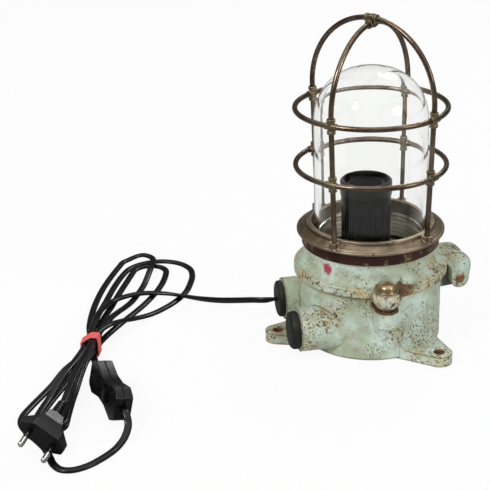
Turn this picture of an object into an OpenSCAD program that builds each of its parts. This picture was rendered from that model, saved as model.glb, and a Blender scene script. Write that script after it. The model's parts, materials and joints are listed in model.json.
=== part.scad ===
// Ship's table lamp: a cast round box with a hinged cover, a screwed glass globe, a wire guard,
// a lampholder and a mains cord with an inline switch and a flat two-pin plug.
// The lamp's axis is Z, the base stands on Z = 0, and azimuths are counted from +X.

/* [Globe] */
// Outer radius of the glass
globe_r = 43.5; // [38:0.5:48]
// Height of the glass from its seat to the top
globe_h = 151; // [130:1:165]
// Wall of the glass
globe_wall = 3; // [2:0.25:4]
// Height of the rounded dome
dome_h = 43; // [36:1:50]
// How far the thread stands out from the glass neck
thread_rise = 1.4; // [0.8:0.1:2]
// Pitch of the thread on the glass neck
thread_pitch = 3.5; // [3:0.1:5]
// Number of thread ridges on the glass neck
thread_turns = 6; // [4:1:7]

/* [Housing] */
// How much wider the box is than the cover's neck
housing_step = 3.4; // [2:0.2:6]
// Height of the box up to its parting face
housing_h = 53; // [48:0.5:62]
// Side wall of the box
housing_wall = 5.4; // [4.6:0.1:7]
// Floor of the box
housing_floor = 5; // [4:0.5:7]
// Chamfer round the base
base_chamfer = 2; // [1:0.5:3]

/* [Feet] */
// Distance from the box wall to a foot hole
foot_reach = 19.7; // [17:0.2:26]
// Diameter of the foot holes
foot_hole_d = 7.5; // [6:0.5:11]
// Radius of a foot's end
foot_end_r = 10; // [9:0.5:14]
// Thickness of a foot
foot_t = 8; // [6:0.5:9]
// Width of a foot where it joins the box
foot_root_w = 40; // [32:1:50]
// Fillet between a foot and the box wall
foot_fillet = 7; // [3:0.5:9]
// Azimuth of the first foot
foot_az = -45; // [-60:1:-35]

/* [Cable entries] */
// Azimuth that both cable entries point to
entry_az = 195.5; // [190:0.5:200]
// Distance between the two entry axes
entry_spacing = 58; // [50:1:60]
// Outer radius of an entry boss
entry_r = 17; // [15:0.5:18]
// Radius of the hole through an entry boss
entry_bore_r = 12; // [9:0.5:13]
// Height of the entry axes over the base
entry_z = 21.5; // [20:0.5:26]
// How far an entry boss stands out from the box wall
entry_out = 9.6; // [8:0.2:14]
// Depth of a rubber stopper in its hole
stopper_depth = 9; // [6:0.5:11]
// Thickness of the grommet's flange
grommet_t = 5; // [3:0.5:8]
// Thickness of the blanking plug's domed head
blank_t = 7.5; // [5:0.5:10]

/* [Cover] */
// Height of the cover from the parting face to the top of its neck
cover_h = 26; // [23:0.5:32]
// Wall of the cover's neck
neck_wall = 6.7; // [5:0.1:9]
// How far the cover's flange overhangs the box
flange_over = 4.6; // [3:0.2:7]
// Radius of the cove between flange and neck
cove_r = 6.5; // [4:0.5:7]
// Height of the globe's seat over the parting face
seat_rise = 11; // [10:0.5:13]
// Thickness of the seat ledge
ledge_t = 6; // [5:0.5:8]
// Width of the seat ledge from the neck bore inwards
ledge_w = 7.5; // [6:0.5:10]
// Thickness of both rubber gaskets
gasket_t = 2; // [1.5:0.25:3]
// Width of the cover gasket
gasket_w = 2.4; // [1.8:0.1:3]

/* [Cover screws] */
// Angle from the hinge to each cover screw
ear_angle = 98; // [92:1:110]
// Radius of a cover ear
ear_r = 10.5; // [9:0.5:12]
// Distance from the box wall to the screw axis
ear_out = 5.6; // [5.2:0.1:8]
// How far an ear hangs below the parting face
ear_drop = 5.8; // [4:0.2:8]
// Diameter of the cover screws
screw_d = 6; // [5:0.5:7]
// Length of a cover screw under its head
screw_l = 28; // [24:0.5:30]
// Diameter of the screw's round head
screw_head_d = 14; // [11:0.5:16]
// Height of the screw's round head
screw_head_h = 5.5; // [4:0.25:7]
// Diameter of the brass washer
washer_d = 18.5; // [16:0.5:20]
// Thickness of the brass washer
washer_t = 1.5; // [1:0.1:2]

/* [Hinge] */
// Azimuth of the hinge
hinge_az = 20; // [14:1:26]
// Distance from the box wall to the hinge pin
hinge_out = 16.7; // [15:0.2:20]
// Depth of the hinge pin under the parting face
hinge_drop = 14; // [12:0.5:17]
// Diameter of the hinge pin
pin_d = 6; // [5:0.5:8]
// Thickness of the box's hinge lug
lug_t = 10; // [8:0.5:13]
// Thickness of each arm of the cover's fork
arm_t = 6.2; // [5:0.2:8]
// Radius of the fork's eyes
eye_r = 7.5; // [7:0.25:8.5]

/* [Guard] */
// Height of the painted collar under the guard ring
collar_h = 9.8; // [8:0.2:13]
// Outer radius of the collar beyond the neck
collar_step = 1.5; // [0.5:0.25:3]
// Gap between the glass and the guard's hoops, measured to the wire's centre
guard_gap = 13.8; // [12:0.2:18]
// Height of the guard ring over the collar
ring_h = 7.2; // [6:0.2:10]
// Diameter of the guard's wire
wire_d = 4; // [3:0.25:5]
// Height of the lower hoop over the collar
lower_hoop_rise = 53.2; // [46:0.2:60]
// Distance between the hoops
hoop_pitch = 45; // [38:0.5:52]
// Height from the upper hoop to where the arches begin to curve
arch_rise = 10; // [7:0.5:16]
// Azimuth of the first arch
arch_1_az = -37; // [-45:1:-30]
// Azimuth of the second arch
arch_2_az = 60; // [52:1:66]
// How much lower the second arch is, so that it passes under the first one's crown
arch_drop = 4; // [0:0.5:5]

/* [Lampholder] */
// Sideways offset of the holder from the lamp's axis
holder_shift = -3.4; // [-5:0.2:0]
// Radius of the holder at its mouth
holder_r = 20; // [18.5:0.25:22]
// Height of the holder's body
holder_body_h = 53.1; // [48:0.5:60]
// Height of the holder's cap
holder_cap_h = 8; // [7:0.5:12]
// Inner radius of the screwed lamp socket
socket_r = 13.3; // [13:0.05:13.5]
// Length of the screwed lamp socket
socket_l = 26; // [22:0.5:28]
// Outer diameter of the threaded tube that carries the holder
nipple_d = 10; // [9:0.5:11]
// Thickness of the steel bridge
bridge_t = 3; // [2:0.5:3.5]
// Width of the steel bridge
bridge_w = 18; // [16:1:24]

/* [Cord] */
// Width of the flat twin cord
cord_w = 5.4; // [5:0.1:5.6]
// Thickness of the flat twin cord
cord_t = 3.2; // [2.8:0.1:3.4]
// Gap kept between stacked strands
layer_gap = 0.6; // [0.5:0.05:0.8]
// Thickness of the rubber band
band_t = 1.6; // [1:0.1:2]
// Width of the rubber band, two turns side by side
band_w = 9; // [6:0.5:12]

/* [Switch] */
// Length of the inline switch
switch_l = 58; // [55:1:62]
// Width of the inline switch
switch_w = 26; // [24:0.5:27]
// Thickness of the inline switch
switch_t = 12.8; // [12.4:0.2:15]
// Wall of the switch shells
switch_wall = 2; // [1.5:0.1:2.5]
// Length of the rocker
rocker_l = 20; // [17:0.5:22]
// Width of the rocker
rocker_w = 10; // [8:0.5:11]
// Tilt of the rocker to either side
rocker_tilt = 8; // [5:0.5:9]

/* [Plug] */
// Width of the flat plug
plug_w = 35.3; // [33:0.1:36]
// Thickness of the flat plug
plug_t = 13.7; // [12.5:0.1:14]
// Depth of the plug's full section
plug_d = 6.5; // [5.5:0.5:8]
// Length of the tapered grip
grip_l = 10; // [8:0.5:12]
// Length of the ribbed sleeve
sleeve_l = 17; // [15:0.5:19]
// Distance between the pins
pin_spacing = 18.6; // [18:0.1:19.2]
// Diameter of the pins
plug_pin_d = 4; // [3.8:0.1:4.2]
// Length of the pins
plug_pin_l = 19; // [18:0.5:20]

/* [Hidden] */
$fn = 64;
fit = 0.1;
run_gap = 0.3;
cut = 1;
sink = 0.2;

// Radii, from the glass outwards
thread_r = globe_r + thread_rise;
neck_bore_r = thread_r + run_gap;
neck_r = neck_bore_r + neck_wall;
ledge_r = neck_bore_r - ledge_w;
housing_r = neck_r + housing_step;
cavity_r = housing_r - housing_wall;
flange_r = housing_r + flange_over;
collar_r = neck_r + collar_step;
hoop_r = globe_r + guard_gap;
wire_r = wire_d / 2;

// Heights, from the base upwards
part_z = housing_h;
neck_z = part_z + cover_h;
collar_z = neck_z + collar_h;
ring_z = collar_z + ring_h;
seat_z = part_z + seat_rise;
ledge_z = seat_z - ledge_t;
globe_z = seat_z + gasket_t;
lower_hoop_z = collar_z + lower_hoop_rise;
upper_hoop_z = lower_hoop_z + hoop_pitch;

// Feet
foot_r = housing_r + foot_reach;
foot_angles = [for (i = [0:2]) foot_az + 120 * i];

// Cable entries
entry_face = housing_r + entry_out;
flange_disc_r = entry_r - 2.2;
entry_relief = 0.8;

// Cover flange: underside slope, straight edge and the start of the cove
flange_slope = 2.5;
flange_edge = 5.5;
cove_foot = part_z + flange_slope + flange_edge + 1.5;

// Cover screws
ear_c = housing_r + ear_out;
ear_angles = [hinge_az - ear_angle, hinge_az + ear_angle];
ear_top = part_z + flange_slope + flange_edge + 1;
ear_low = part_z - ear_drop;
ear_gap = 0.4;
boss_r = ear_r - 1.5;
boss_top = ear_low - ear_gap;
boss_h = 13;
boss_taper = 2.5;
screw_r = screw_d / 2;
screw_play = 0.9;
screw_seat = ear_top + washer_t;

// Hinge
hinge_r = housing_r + hinge_out;
hinge_z = part_z - hinge_drop;
pin_r = pin_d / 2;
lug_eye_r = eye_r - 0.5;
arm_y = lug_t / 2 + run_gap;
fork_top = ear_top;
fork_w = 2 * (arm_y + arm_t);
fork_corner = 12;
pin_head_r = pin_r + 0.8;
pin_head_t = 1.3;

// Guard
spigot_gap = 0.3;
ring_bore = neck_bore_r + 1;
spigot_r = ring_bore + 2.4;
arch_r = hoop_r - 0.3;
arch_z = upper_hoop_z + arch_rise;
pad_r = wire_r + 1.9;
pad_z = collar_z + 6.5;
bar_foot_r = collar_r - 0.1;
// Height of each bar's arch; bars 0 and 2 make the first arch, 1 and 3 the second
function arch_h(i) = arch_z - (i % 2) * arch_drop;
// Lean of the bars: the line from a foot that is tangent to the arch
foot_to_arch = [for (i = [0:3]) norm([bar_foot_r, arch_h(i) - pad_z])];
bar_lean = [for (i = [0:3]) atan2(arch_h(i) - pad_z, bar_foot_r) - acos(arch_r / foot_to_arch[i])];
bar_l = [for (i = [0:3]) sqrt(foot_to_arch[i] * foot_to_arch[i] - arch_r * arch_r)];
bar_angles = [arch_1_az, arch_2_az, arch_1_az + 180, arch_2_az + 180];
crown_half = 5;
joint_half = 4.4;
joint_l = 11;
joint_r = wire_r + 0.8;
collar_ring_r = wire_r + 1.25;
collar_ring_l = 1.8;

// Lampholder
nut_t = 5;
bridge_z = ledge_z - bridge_t;
cap_z = ledge_z + 2 * nut_t + 0.2;
body_z = cap_z + holder_cap_h;
mouth_z = body_z + holder_body_h;
bridge_screw_x = ledge_r + 3.5;
bridge_screw_r = 2;
nipple_r = nipple_d / 2;
nipple_bore = nipple_r - 1.5;
nut_r = nipple_r + 3.6;
holder_wall = 4.2;
mouth_bore = holder_r - 2.2;
mouth_deep = 10;
cap_floor = 4;
grip_h = holder_body_h - 19;
insert_h = holder_body_h - socket_l - 3.3;
insert_z = body_z;
socket_z = insert_z + insert_h;
contact_well = 3.8;

// Cord layers: a strand lies on the floor, or on the strands under it
floor_gap = 0.15;
function layer(k) = floor_gap + cord_t / 2 + k * (cord_t + layer_gap);
// At the waist the band's own thickness lifts every strand
waist_lift = band_t + 0.25;
function waist(k) = layer(k) + waist_lift;
waist_y = -52;
lane_x = -217.1;
lane_step = 5.8;
lanes = [lane_x - lane_step / 2, lane_x + lane_step / 2];

// Switch: where its middle stands, and its turn, rise and lean
switch_pos = [-185.8, -132.4, 15.1];
switch_turn = [12.7, 1.7, 118.6];
// Plug: middle of its front face, and its roll, rise and turn
plug_pos = [-221, -199.2, 14.9];
plug_turn = [-36.5, 1.2, -96.3];
shoulder_l = 10.5;
plug_back = plug_d + shoulder_l + grip_l + sleeve_l;

// Routes of the free cord, by hand
lead_tail = [[-85, 7, 21.3], [-96, 10, 19.8], [-108, 16, 16.5], [-124, 27, 11], [-142, 38, 7],
    [-158, 46, 5.6], [-172, 50, 5.6], [-186, 51, 5.6], [-198, 48.5, 5.6], [-208.5, 42, 5.6],
    [-216, 32, 6.2], [-219.4, 18, 8.4], [-220.6, 2, 10.7], [-220.4, -16, 11.5], [-220.1, -34, 11.2]];
to_switch = [[-214.1, -58, 3.6], [-210.5, -70, 3.8], [-207, -81, 6.5], [-204.2, -92, 11.8]];
tail_front = [[-167, -168.5, 8.2], [-168.2, -177, 3.6], [-171.4, -187, 1.8], [-175.5, -196, 1.75],
    [-181.5, -205, 1.75], [-187.5, -211.8, 1.75], [-196, -217, 1.75], [-204.5, -217, 1.75],
    [-211, -211, 1.75], [-215.3, -203, 1.75], [-221, -192, 1.75], [-229.5, -181.5, 1.75],
    [-239, -171, 1.75], [-246, -160, 1.75], [-247.4, -149, 1.75], [-244.8, -136, 1.75],
    [-240.8, -121, 1.75], [-236, -105, 2.6], [-230.5, -89, 6], [-223.6, -73, 7.3]];
tail_loop = [[-220.2, -61, 7.4], [-220, -46, 7.4], [-221, -30, 7.4], [-222.4, -14, 7.3], [-223, 2, 6.4],
    [-223.5, 20, 3.8], [-223.2, 42, 1.75], [-221.8, 68, 1.75], [-219, 92, 1.75], [-214.2, 110, 1.75],
    [-202.8, 121.6, 1.75], [-187.5, 126, 1.75], [-172, 122, 1.75], [-160.6, 110.5, 1.75],
    [-156.3, 95, 1.75], [-156, 78, 1.75], [-157.5, 62, 1.75], [-162.5, 46, 1.75], [-170.5, 31, 1.75],
    [-181, 16.5, 2.2], [-192.5, 0.5, 6], [-199, -11, 10], [-205.8, -26, 14.3], [-211.3, -37, 14.9],
    [-214.2, -48, 15], [-214.2, -60, 15], [-214.4, -74, 15.5], [-215, -90, 16.2], [-215.6, -107, 16.3],
    [-216, -125, 16.2]];
// Inside the box: from the grommet under the clamp and up to the threaded tube
inner_route = [[-46, 16, 21], [-38, 17, 15.5], [-30, 16, 8.6], [-22, 13, 6.9], [-14, 9.5, 6.9],
    [-8, 6.5, 8.8], [-4.5, 3, 15], [-3.6, 0.8, 24], [-3.4, 0.2, 34], [-3.4, 0, 43]];
clamp_at = [-18, 11.25];
clamp_turn = -25;

// Colours, as the lamp shows them
mint = [0.64, 0.76, 0.70];
bronze = [0.36, 0.27, 0.20];
maroon = [0.20, 0.09, 0.09];
brass = [0.72, 0.58, 0.28];
copper = [0.66, 0.40, 0.26];
steel = [0.62, 0.62, 0.60];
black = [0.06, 0.06, 0.06];
grey_rubber = [0.12, 0.12, 0.12];
red_rubber = [0.86, 0.22, 0.24];
ceramic = [0.85, 0.83, 0.78];
clear = [0.80, 0.88, 0.86, 0.35];

// Small helpers

// Turns its children to an azimuth and moves them out and up
module at_az(az, r = 0, z = 0) rotate([0, 0, az]) translate([r, 0, z]) children();

// Stands a flat outline, drawn in radius and height, upright across a radius
module upright(t) translate([0, t / 2, 0]) rotate([90, 0, 0]) linear_extrude(t) children();

// A tube between two heights
module pipe(r_out, r_in, z0, z1) {
    translate([0, 0, z0])
        difference() {
            cylinder(r = r_out, h = z1 - z0);
            translate([0, 0, -cut]) cylinder(r = r_in, h = z1 - z0 + 2 * cut);
        }
}

// Points on an arc in the plane
function arc(c, r, a0, a1, n) = [for (i = [0:n]) c + r * [cos(a0 + (a1 - a0) * i / n), sin(a0 + (a1 - a0) * i / n)]];

// A slot with round ends, for the flat cord
module cord_slot(play) {
    w = cord_w + 2 * play;
    t = cord_t + 2 * play;
    square([w - t, t], center = true);
    for (s = [-1, 1]) translate([s * (w - t) / 2, 0]) circle(d = t);
}

// Smooth curve through hand-chosen points, in steps of a part of each span
function spline_at(p, i, t) =
    let (a = p[max(i - 1, 0)], b = p[i], c = p[i + 1], d = p[min(i + 2, len(p) - 1)])
    0.5 * (2 * b + (c - a) * t + (2 * a - 5 * b + 4 * c - d) * t * t + (3 * b - a - 3 * c + d) * t * t * t);
function spline(p, steps) = concat(
    [for (i = [0:len(p) - 2]) for (k = [0:steps - 1]) spline_at(p, i, k / steps)], [p[len(p) - 1]]);
function length_of(p) = len(p) < 2 ? 0 : norm_sum(p, len(p) - 2);
function norm_sum(p, i) = i < 0 ? 0 : norm(p[i + 1] - p[i]) + norm_sum(p, i - 1);

// A flat strand along points: its width stays level, its thickness stands up
function heading(p, i) =
    let (v = p[min(i + 1, len(p) - 1)] - p[max(i - 1, 0)]) v / norm(v);
function level_side(v) = let (s = cross([0, 0, 1], v)) norm(s) < 0.05 ? [0, 1, 0] : s / norm(s);
function strand_ring(p, i, sides) =
    let (v = heading(p, i), s = level_side(v), u = cross(v, s))
    [for (k = [0:sides - 1]) p[i] + s * cord_w / 2 * cos(360 * k / sides) + u * cord_t / 2 * sin(360 * k / sides)];
module strand(p, sides) {
    n = len(p);
    rings = [for (i = [0:n - 1]) each strand_ring(p, i, sides)];
    walls = [for (i = [0:n - 2]) for (k = [0:sides - 1])
        let (a = i * sides + k, b = i * sides + (k + 1) % sides)
        each [[a, a + sides, b], [b, a + sides, b + sides]]];
    start = [for (k = [1:sides - 2]) [0, k, k + 1]];
    last = (n - 1) * sides;
    end = [for (k = [1:sides - 2]) [last, last + k + 1, last + k]];
    polyhedron(points = rings, faces = concat(walls, start, end), convexity = 10);
}

// Housing

module foot_outline() {
    root = [sqrt(housing_r * housing_r - foot_root_w * foot_root_w / 4) - 2, foot_root_w / 2];
    to_end = [foot_r, 0] - root;
    end_r = foot_end_r - sink;
    turn = atan2(to_end[1], to_end[0]) + asin(end_r / norm(to_end));
    reach = sqrt(to_end * to_end - end_r * end_r);
    touch = root + reach * [cos(turn), sin(turn)];
    translate([foot_r, 0]) circle(r = foot_end_r);
    polygon([[root[0], -root[1]], [touch[0], -touch[1]], touch, root]);
}

module foot_lug() {
    linear_extrude(foot_t) foot_outline();
    intersection() {
        linear_extrude(foot_t + foot_fillet) foot_outline();
        rotate_extrude()
            polygon(concat([[housing_r - cut, foot_t - cut], [housing_r + foot_fillet - sink, foot_t - cut]],
                arc([housing_r + foot_fillet - sink, foot_t + foot_fillet - sink], foot_fillet, 270, 180, 8),
                [[housing_r - cut, foot_t + foot_fillet - sink]]));
    }
}

module entry_axes() {
    for (s = [-1, 1])
        rotate([0, 0, entry_az]) translate([0, s * entry_spacing / 2, entry_z]) rotate([0, 90, 0]) children();
}

module screw_boss() {
    translate([0, 0, boss_top - boss_h]) cylinder(r = boss_r, h = boss_h);
    translate([0, 0, boss_top - boss_h - boss_taper]) cylinder(r1 = boss_r - boss_taper, r2 = boss_r, h = boss_taper);
    translate([-ear_out - cut, -boss_r, boss_top - boss_h]) cube([ear_out + cut, 2 * boss_r, boss_h]);
}

module hinge_lug_outline() {
    translate([hinge_r, hinge_z]) circle(r = lug_eye_r);
    root = housing_r - 2;
    polygon([[root, hinge_z - lug_eye_r - 1], [hinge_r, hinge_z - lug_eye_r],
        [hinge_r, hinge_z + lug_eye_r], [root, hinge_z + lug_eye_r]]);
}

module gasket_section(play) {
    mid = (cavity_r + housing_r) / 2;
    translate([mid - gasket_w / 2 - play, part_z - gasket_t]) square([gasket_w + 2 * play, gasket_t + cut]);
}

module housing() color(mint) {
    difference() {
        union() {
            rotate_extrude()
                polygon([[0, 0], [housing_r - base_chamfer, 0], [housing_r, base_chamfer],
                    [housing_r, part_z], [0, part_z]]);
            for (a = foot_angles) rotate([0, 0, a]) foot_lug();
            entry_axes() cylinder(r = entry_r, h = entry_face);
            for (a = ear_angles) at_az(a, ear_c) screw_boss();
            rotate([0, 0, hinge_az]) upright(lug_t) hinge_lug_outline();
        }
        translate([0, 0, housing_floor]) cylinder(r = cavity_r, h = part_z);
        rotate_extrude() gasket_section(fit);
        for (a = foot_angles) at_az(a, foot_r, -cut) cylinder(d = foot_hole_d, h = foot_t + foot_fillet + 2 * cut);
        entry_axes() translate([0, 0, cavity_r / 2]) cylinder(r = entry_bore_r, h = entry_face);
        entry_axes() translate([0, 0, entry_face]) cylinder(r = flange_disc_r + entry_relief, h = 2 * blank_t);
        for (a = ear_angles) at_az(a, ear_c, boss_top - boss_h)
            cylinder(r = screw_r + screw_play, h = boss_h + cut);
        rotate([0, 0, hinge_az]) translate([hinge_r, lug_t, hinge_z]) rotate([90, 0, 0])
            cylinder(r = pin_r, h = 2 * lug_t);
    }
}

module cover_gasket() color(black) {
    rotate_extrude()
        intersection() {
            gasket_section(0);
            square([housing_r, part_z]);
        }
}

module hinge_pin() color(copper) {
    half = fork_w / 2 + fit;
    rotate([0, 0, hinge_az]) translate([hinge_r, 0, hinge_z]) rotate([90, 0, 0]) {
        cylinder(r = pin_r, h = 2 * half, center = true);
        for (s = [0, 180]) rotate([s, 0, 0]) translate([0, 0, half])
            cylinder(r1 = pin_head_r, r2 = pin_r, h = pin_head_t);
    }
}

// A rubber stopper pushed into an entry, drawn along +Z from the entry's face
module stopper(head) {
    translate([0, 0, -stopper_depth]) cylinder(r = entry_bore_r, h = stopper_depth);
    head_r = flange_disc_r;
    edge = head / 3;
    rotate_extrude()
        polygon(concat([[0, 0], [head_r - edge / 2, 0], [head_r, edge / 2]],
            arc([head_r - edge * 1.5, head - edge * 1.5], edge * 1.5, 0, 90, 6), [[0, head]]));
}

module at_entry(side) {
    rotate([0, 0, entry_az]) translate([entry_face, side * entry_spacing / 2, entry_z]) rotate([0, 90, 0]) children();
}

module cord_grommet() color(black) {
    at_entry(-1)
        difference() {
            stopper(grommet_t);
            translate([0, 0, -stopper_depth - cut]) rotate([0, 0, 90])
                linear_extrude(stopper_depth + grommet_t + 2 * cut) cord_slot(fit);
        }
}

module blanking_plug() color(grey_rubber) at_entry(1) stopper(blank_t);

module at_clamp() translate([clamp_at[0], clamp_at[1], housing_floor]) rotate([0, 0, clamp_turn]) children();
clamp_size = [8, 22, 6];
clamp_screw_y = 7;
clamp_screw_r = 1.75;

module cord_clamp() color(steel) {
    tunnel = [clamp_size[0] + 2 * cut, cord_w + 2.4, cord_t + 0.9];
    at_clamp()
        difference() {
            translate([0, 0, clamp_size[2] / 2]) cube(clamp_size, center = true);
            translate([0, 0, tunnel[2] / 2 - fit]) cube(tunnel + [0, 0, 2 * fit], center = true);
            for (s = [-1, 1]) translate([0, s * clamp_screw_y, -cut])
                cylinder(r = clamp_screw_r + fit, h = clamp_size[2] + 2 * cut);
        }
}

module clamp_screws() color(brass) {
    at_clamp()
        for (s = [-1, 1]) translate([0, s * clamp_screw_y, 0]) {
            cylinder(r = clamp_screw_r, h = clamp_size[2]);
            translate([0, 0, clamp_size[2]]) cylinder(r = 1.8 * clamp_screw_r, h = 2);
        }
}

// Cover

module cover_profile() {
    lip = part_z + flange_slope;
    polygon(concat(
        [[cavity_r, part_z], [housing_r, part_z], [flange_r, lip], [flange_r, lip + flange_edge],
            [neck_r + cove_r, cove_foot]],
        arc([neck_r + cove_r, cove_foot + cove_r], cove_r, 270, 180, 8),
        [[neck_r, neck_z], [neck_bore_r, neck_z], [neck_bore_r, seat_z], [ledge_r, seat_z],
            [ledge_r, ledge_z], [cavity_r, ledge_z]]));
}

module ear() {
    cup = ear_r - 4.5;
    rotate_extrude()
        polygon([[0, ear_low], [cup, ear_low], [ear_r, part_z + 1.5], [ear_r, ear_top], [0, ear_top]]);
}

module arm_outline() {
    root = flange_r - 5;
    inner = hinge_r - eye_r;
    outer = hinge_r + eye_r;
    bulge = outer + 1.4;
    low = part_z + flange_slope - 1;
    throat = inner - flange_r;
    translate([hinge_r, hinge_z]) circle(r = eye_r);
    polygon(concat([[root, fork_top]],
        arc([bulge - fork_corner, fork_top - fork_corner], fork_corner, 90, 0, 8),
        [[outer, hinge_z], [inner, hinge_z], [inner, low - throat - 2], [inner - throat, low], [root, low]]));
}

module web_outline() {
    root = flange_r - 5;
    low = part_z + flange_slope - 1;
    polygon([[root, fork_top], [hinge_r - 1, fork_top], [hinge_r - 1, low + 1], [inner_web(), low], [root, low]]);
}
function inner_web() = hinge_r - eye_r;

module hinge_fork() {
    for (s = [-1, 1]) translate([0, s * (arm_y + arm_t / 2), 0]) upright(arm_t) arm_outline();
    upright(2 * arm_y) web_outline();
}

module cover() color(mint) {
    difference() {
        union() {
            rotate_extrude() cover_profile();
            difference() {
                for (a = ear_angles) at_az(a, ear_c) ear();
                translate([0, 0, part_z - 2 * ear_drop]) cylinder(r = housing_r + run_gap, h = 2 * ear_drop);
                cylinder(r = cavity_r, h = ear_top + cut);
            }
            rotate([0, 0, hinge_az]) hinge_fork();
        }
        for (a = ear_angles) at_az(a, ear_c, ear_low - cut)
            cylinder(r = screw_r + run_gap, h = ear_top - ear_low + 2 * cut);
        for (a = ear_angles) at_az(a, ear_c, ear_top)
            cylinder(r = washer_d / 2 + run_gap, h = washer_t + screw_head_h + cut);
        rotate([0, 0, hinge_az]) translate([hinge_r, fork_w, hinge_z]) rotate([90, 0, 0])
            cylinder(r = pin_r + fit, h = 2 * fork_w);
        for (s = [-1, 1]) translate([s * bridge_screw_x, 0, ledge_z - cut])
            cylinder(r = bridge_screw_r + fit / 2, h = ledge_t - 1 + cut);
    }
}

module screw_washers() color(brass) {
    for (a = ear_angles) at_az(a, ear_c) pipe(washer_d / 2, screw_r + run_gap, ear_top, screw_seat);
}

module cover_screw(az) {
    head_r = screw_head_d / 2;
    slot = [screw_head_d + 2 * cut, 1.6, screw_head_h / 2];
    edge = 1.4;
    at_az(az, ear_c)
        difference() {
            union() {
                translate([0, 0, screw_seat - screw_l]) cylinder(r = screw_r, h = screw_l);
                translate([0, 0, screw_seat]) rotate_extrude()
                    polygon(concat([[0, 0], [head_r, 0], [head_r, edge]],
                        [for (i = [1:6]) [head_r * cos(15 * i), edge + (screw_head_h - edge) * sin(15 * i)]]));
            }
            translate([0, 0, screw_seat + screw_head_h]) rotate([0, 0, 35]) cube(slot, center = true);
        }
}

module cover_screw_front() color(brass) cover_screw(ear_angles[0]);

module cover_screw_rear() color(brass) cover_screw(ear_angles[1]);

module neck_collar() color(maroon) pipe(collar_r, spigot_r + spigot_gap, neck_z, collar_z);

module globe_gasket() color(black) pipe(thread_r - 0.4, globe_r - globe_wall, seat_z, globe_z);

// Glass

// Height of the dome at a radius fraction, a little squarer than an ellipse
dome_power = 2.25;
dome_steps = 14;
function dome_points(r, h, z) = [for (i = [0:dome_steps])
    let (a = 90 * i / dome_steps)
    [r * pow(cos(a), 2 / dome_power), z + h * pow(sin(a), 2 / dome_power)]];

module glass_globe() color(clear) {
    dome_z = globe_z + globe_h - dome_h;
    in_r = globe_r - globe_wall;
    ridge = thread_pitch / 4;
    ridges = [for (i = [0:thread_turns - 1])
        let (z = globe_z + 1.5 + i * thread_pitch)
        each [[globe_r, z], [thread_r, z + ridge], [thread_r, z + 2 * ridge], [globe_r, z + 3 * ridge]]];
    inner = dome_points(in_r, dome_h - globe_wall, dome_z);
    rotate_extrude()
        polygon(concat([[in_r, globe_z], [globe_r, globe_z]], ridges, dome_points(globe_r, dome_h, dome_z),
            [for (i = [dome_steps:-1:0]) inner[i]]));
}

// Lampholder, on a bridge under the cover's ledge

module holder_bridge() color(steel) {
    l = 2 * (bridge_screw_x + 6);
    difference() {
        translate([-l / 2, -bridge_w / 2, bridge_z]) cube([l, bridge_w, bridge_t]);
        translate([holder_shift, 0, bridge_z - cut]) cylinder(r = nipple_r + fit, h = bridge_t + 2 * cut);
        for (s = [-1, 1]) translate([s * bridge_screw_x, 0, bridge_z - cut])
            cylinder(r = bridge_screw_r + fit, h = bridge_t + 2 * cut);
    }
}

module bridge_screws() color(brass) {
    head_h = 2.4;
    for (s = [-1, 1]) translate([s * bridge_screw_x, 0, 0]) {
        translate([0, 0, bridge_z]) cylinder(r = bridge_screw_r, h = bridge_t + ledge_t - 2);
        translate([0, 0, bridge_z - head_h]) cylinder(r = 2 * bridge_screw_r, h = head_h);
    }
}

module threaded_tube() color(steel)
    translate([holder_shift, 0, 0]) pipe(nipple_r, nipple_bore, bridge_z - nut_t - 1, cap_z + cap_floor);

module lock_nuts() color(steel) {
    translate([holder_shift, 0, 0])
        for (z = [bridge_z - nut_t, bridge_z + bridge_t, cap_z - nut_t])
            difference() {
                translate([0, 0, z]) cylinder(r = nut_r, h = nut_t, $fn = 6);
                translate([0, 0, z - cut]) cylinder(r = nipple_r + fit / 2, h = nut_t + 2 * cut);
            }
}

module holder_cap() color(black) {
    wall = 3;
    low_r = nipple_r + 4;
    out_r = holder_r - 1.2;
    translate([holder_shift, 0, 0]) rotate_extrude()
        polygon([[nipple_r + fit / 2, cap_z], [low_r, cap_z], [out_r - 1.5, body_z - 3.5], [out_r, body_z - 2],
            [out_r, body_z], [out_r - wall - 2, body_z], [out_r - wall - 2, body_z - 1.5],
            [low_r, cap_z + cap_floor], [nipple_r + fit / 2, cap_z + cap_floor]]);
}

module holder_body() color(black) {
    flutes = 44;
    deep = 0.6;
    base_r = holder_r - 0.7;
    in_r = holder_r - holder_wall;
    translate([holder_shift, 0, 0])
        difference() {
            union() {
                translate([0, 0, body_z]) linear_extrude(grip_h)
                    polygon([for (i = [0:2 * flutes - 1])
                        (base_r - sink - (i % 2) * deep) * [cos(180 * i / flutes), sin(180 * i / flutes)]]);
                rotate_extrude()
                    polygon([[0, body_z + grip_h], [base_r, body_z + grip_h], [base_r, body_z + grip_h + 6],
                        [holder_r, body_z + grip_h + 8], [holder_r, mouth_z - 1.2], [holder_r - 1.2, mouth_z],
                        [0, mouth_z]]);
            }
            translate([0, 0, body_z - cut]) cylinder(r = in_r, h = holder_body_h + 2 * cut);
            translate([0, 0, mouth_z - mouth_deep]) cylinder(r = mouth_bore, h = mouth_deep + cut);
        }
}

module holder_insert() color(ceramic) {
    r = holder_r - holder_wall - fit;
    well_r = 8;
    translate([holder_shift, 0, insert_z])
        difference() {
            cylinder(r = r, h = insert_h);
            translate([0, 0, insert_h - contact_well]) cylinder(r = well_r, h = contact_well + cut);
        }
}

module holder_socket() color(black)
    translate([holder_shift, 0, 0]) pipe(socket_r + 0.8, socket_r, socket_z, socket_z + socket_l);

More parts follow.
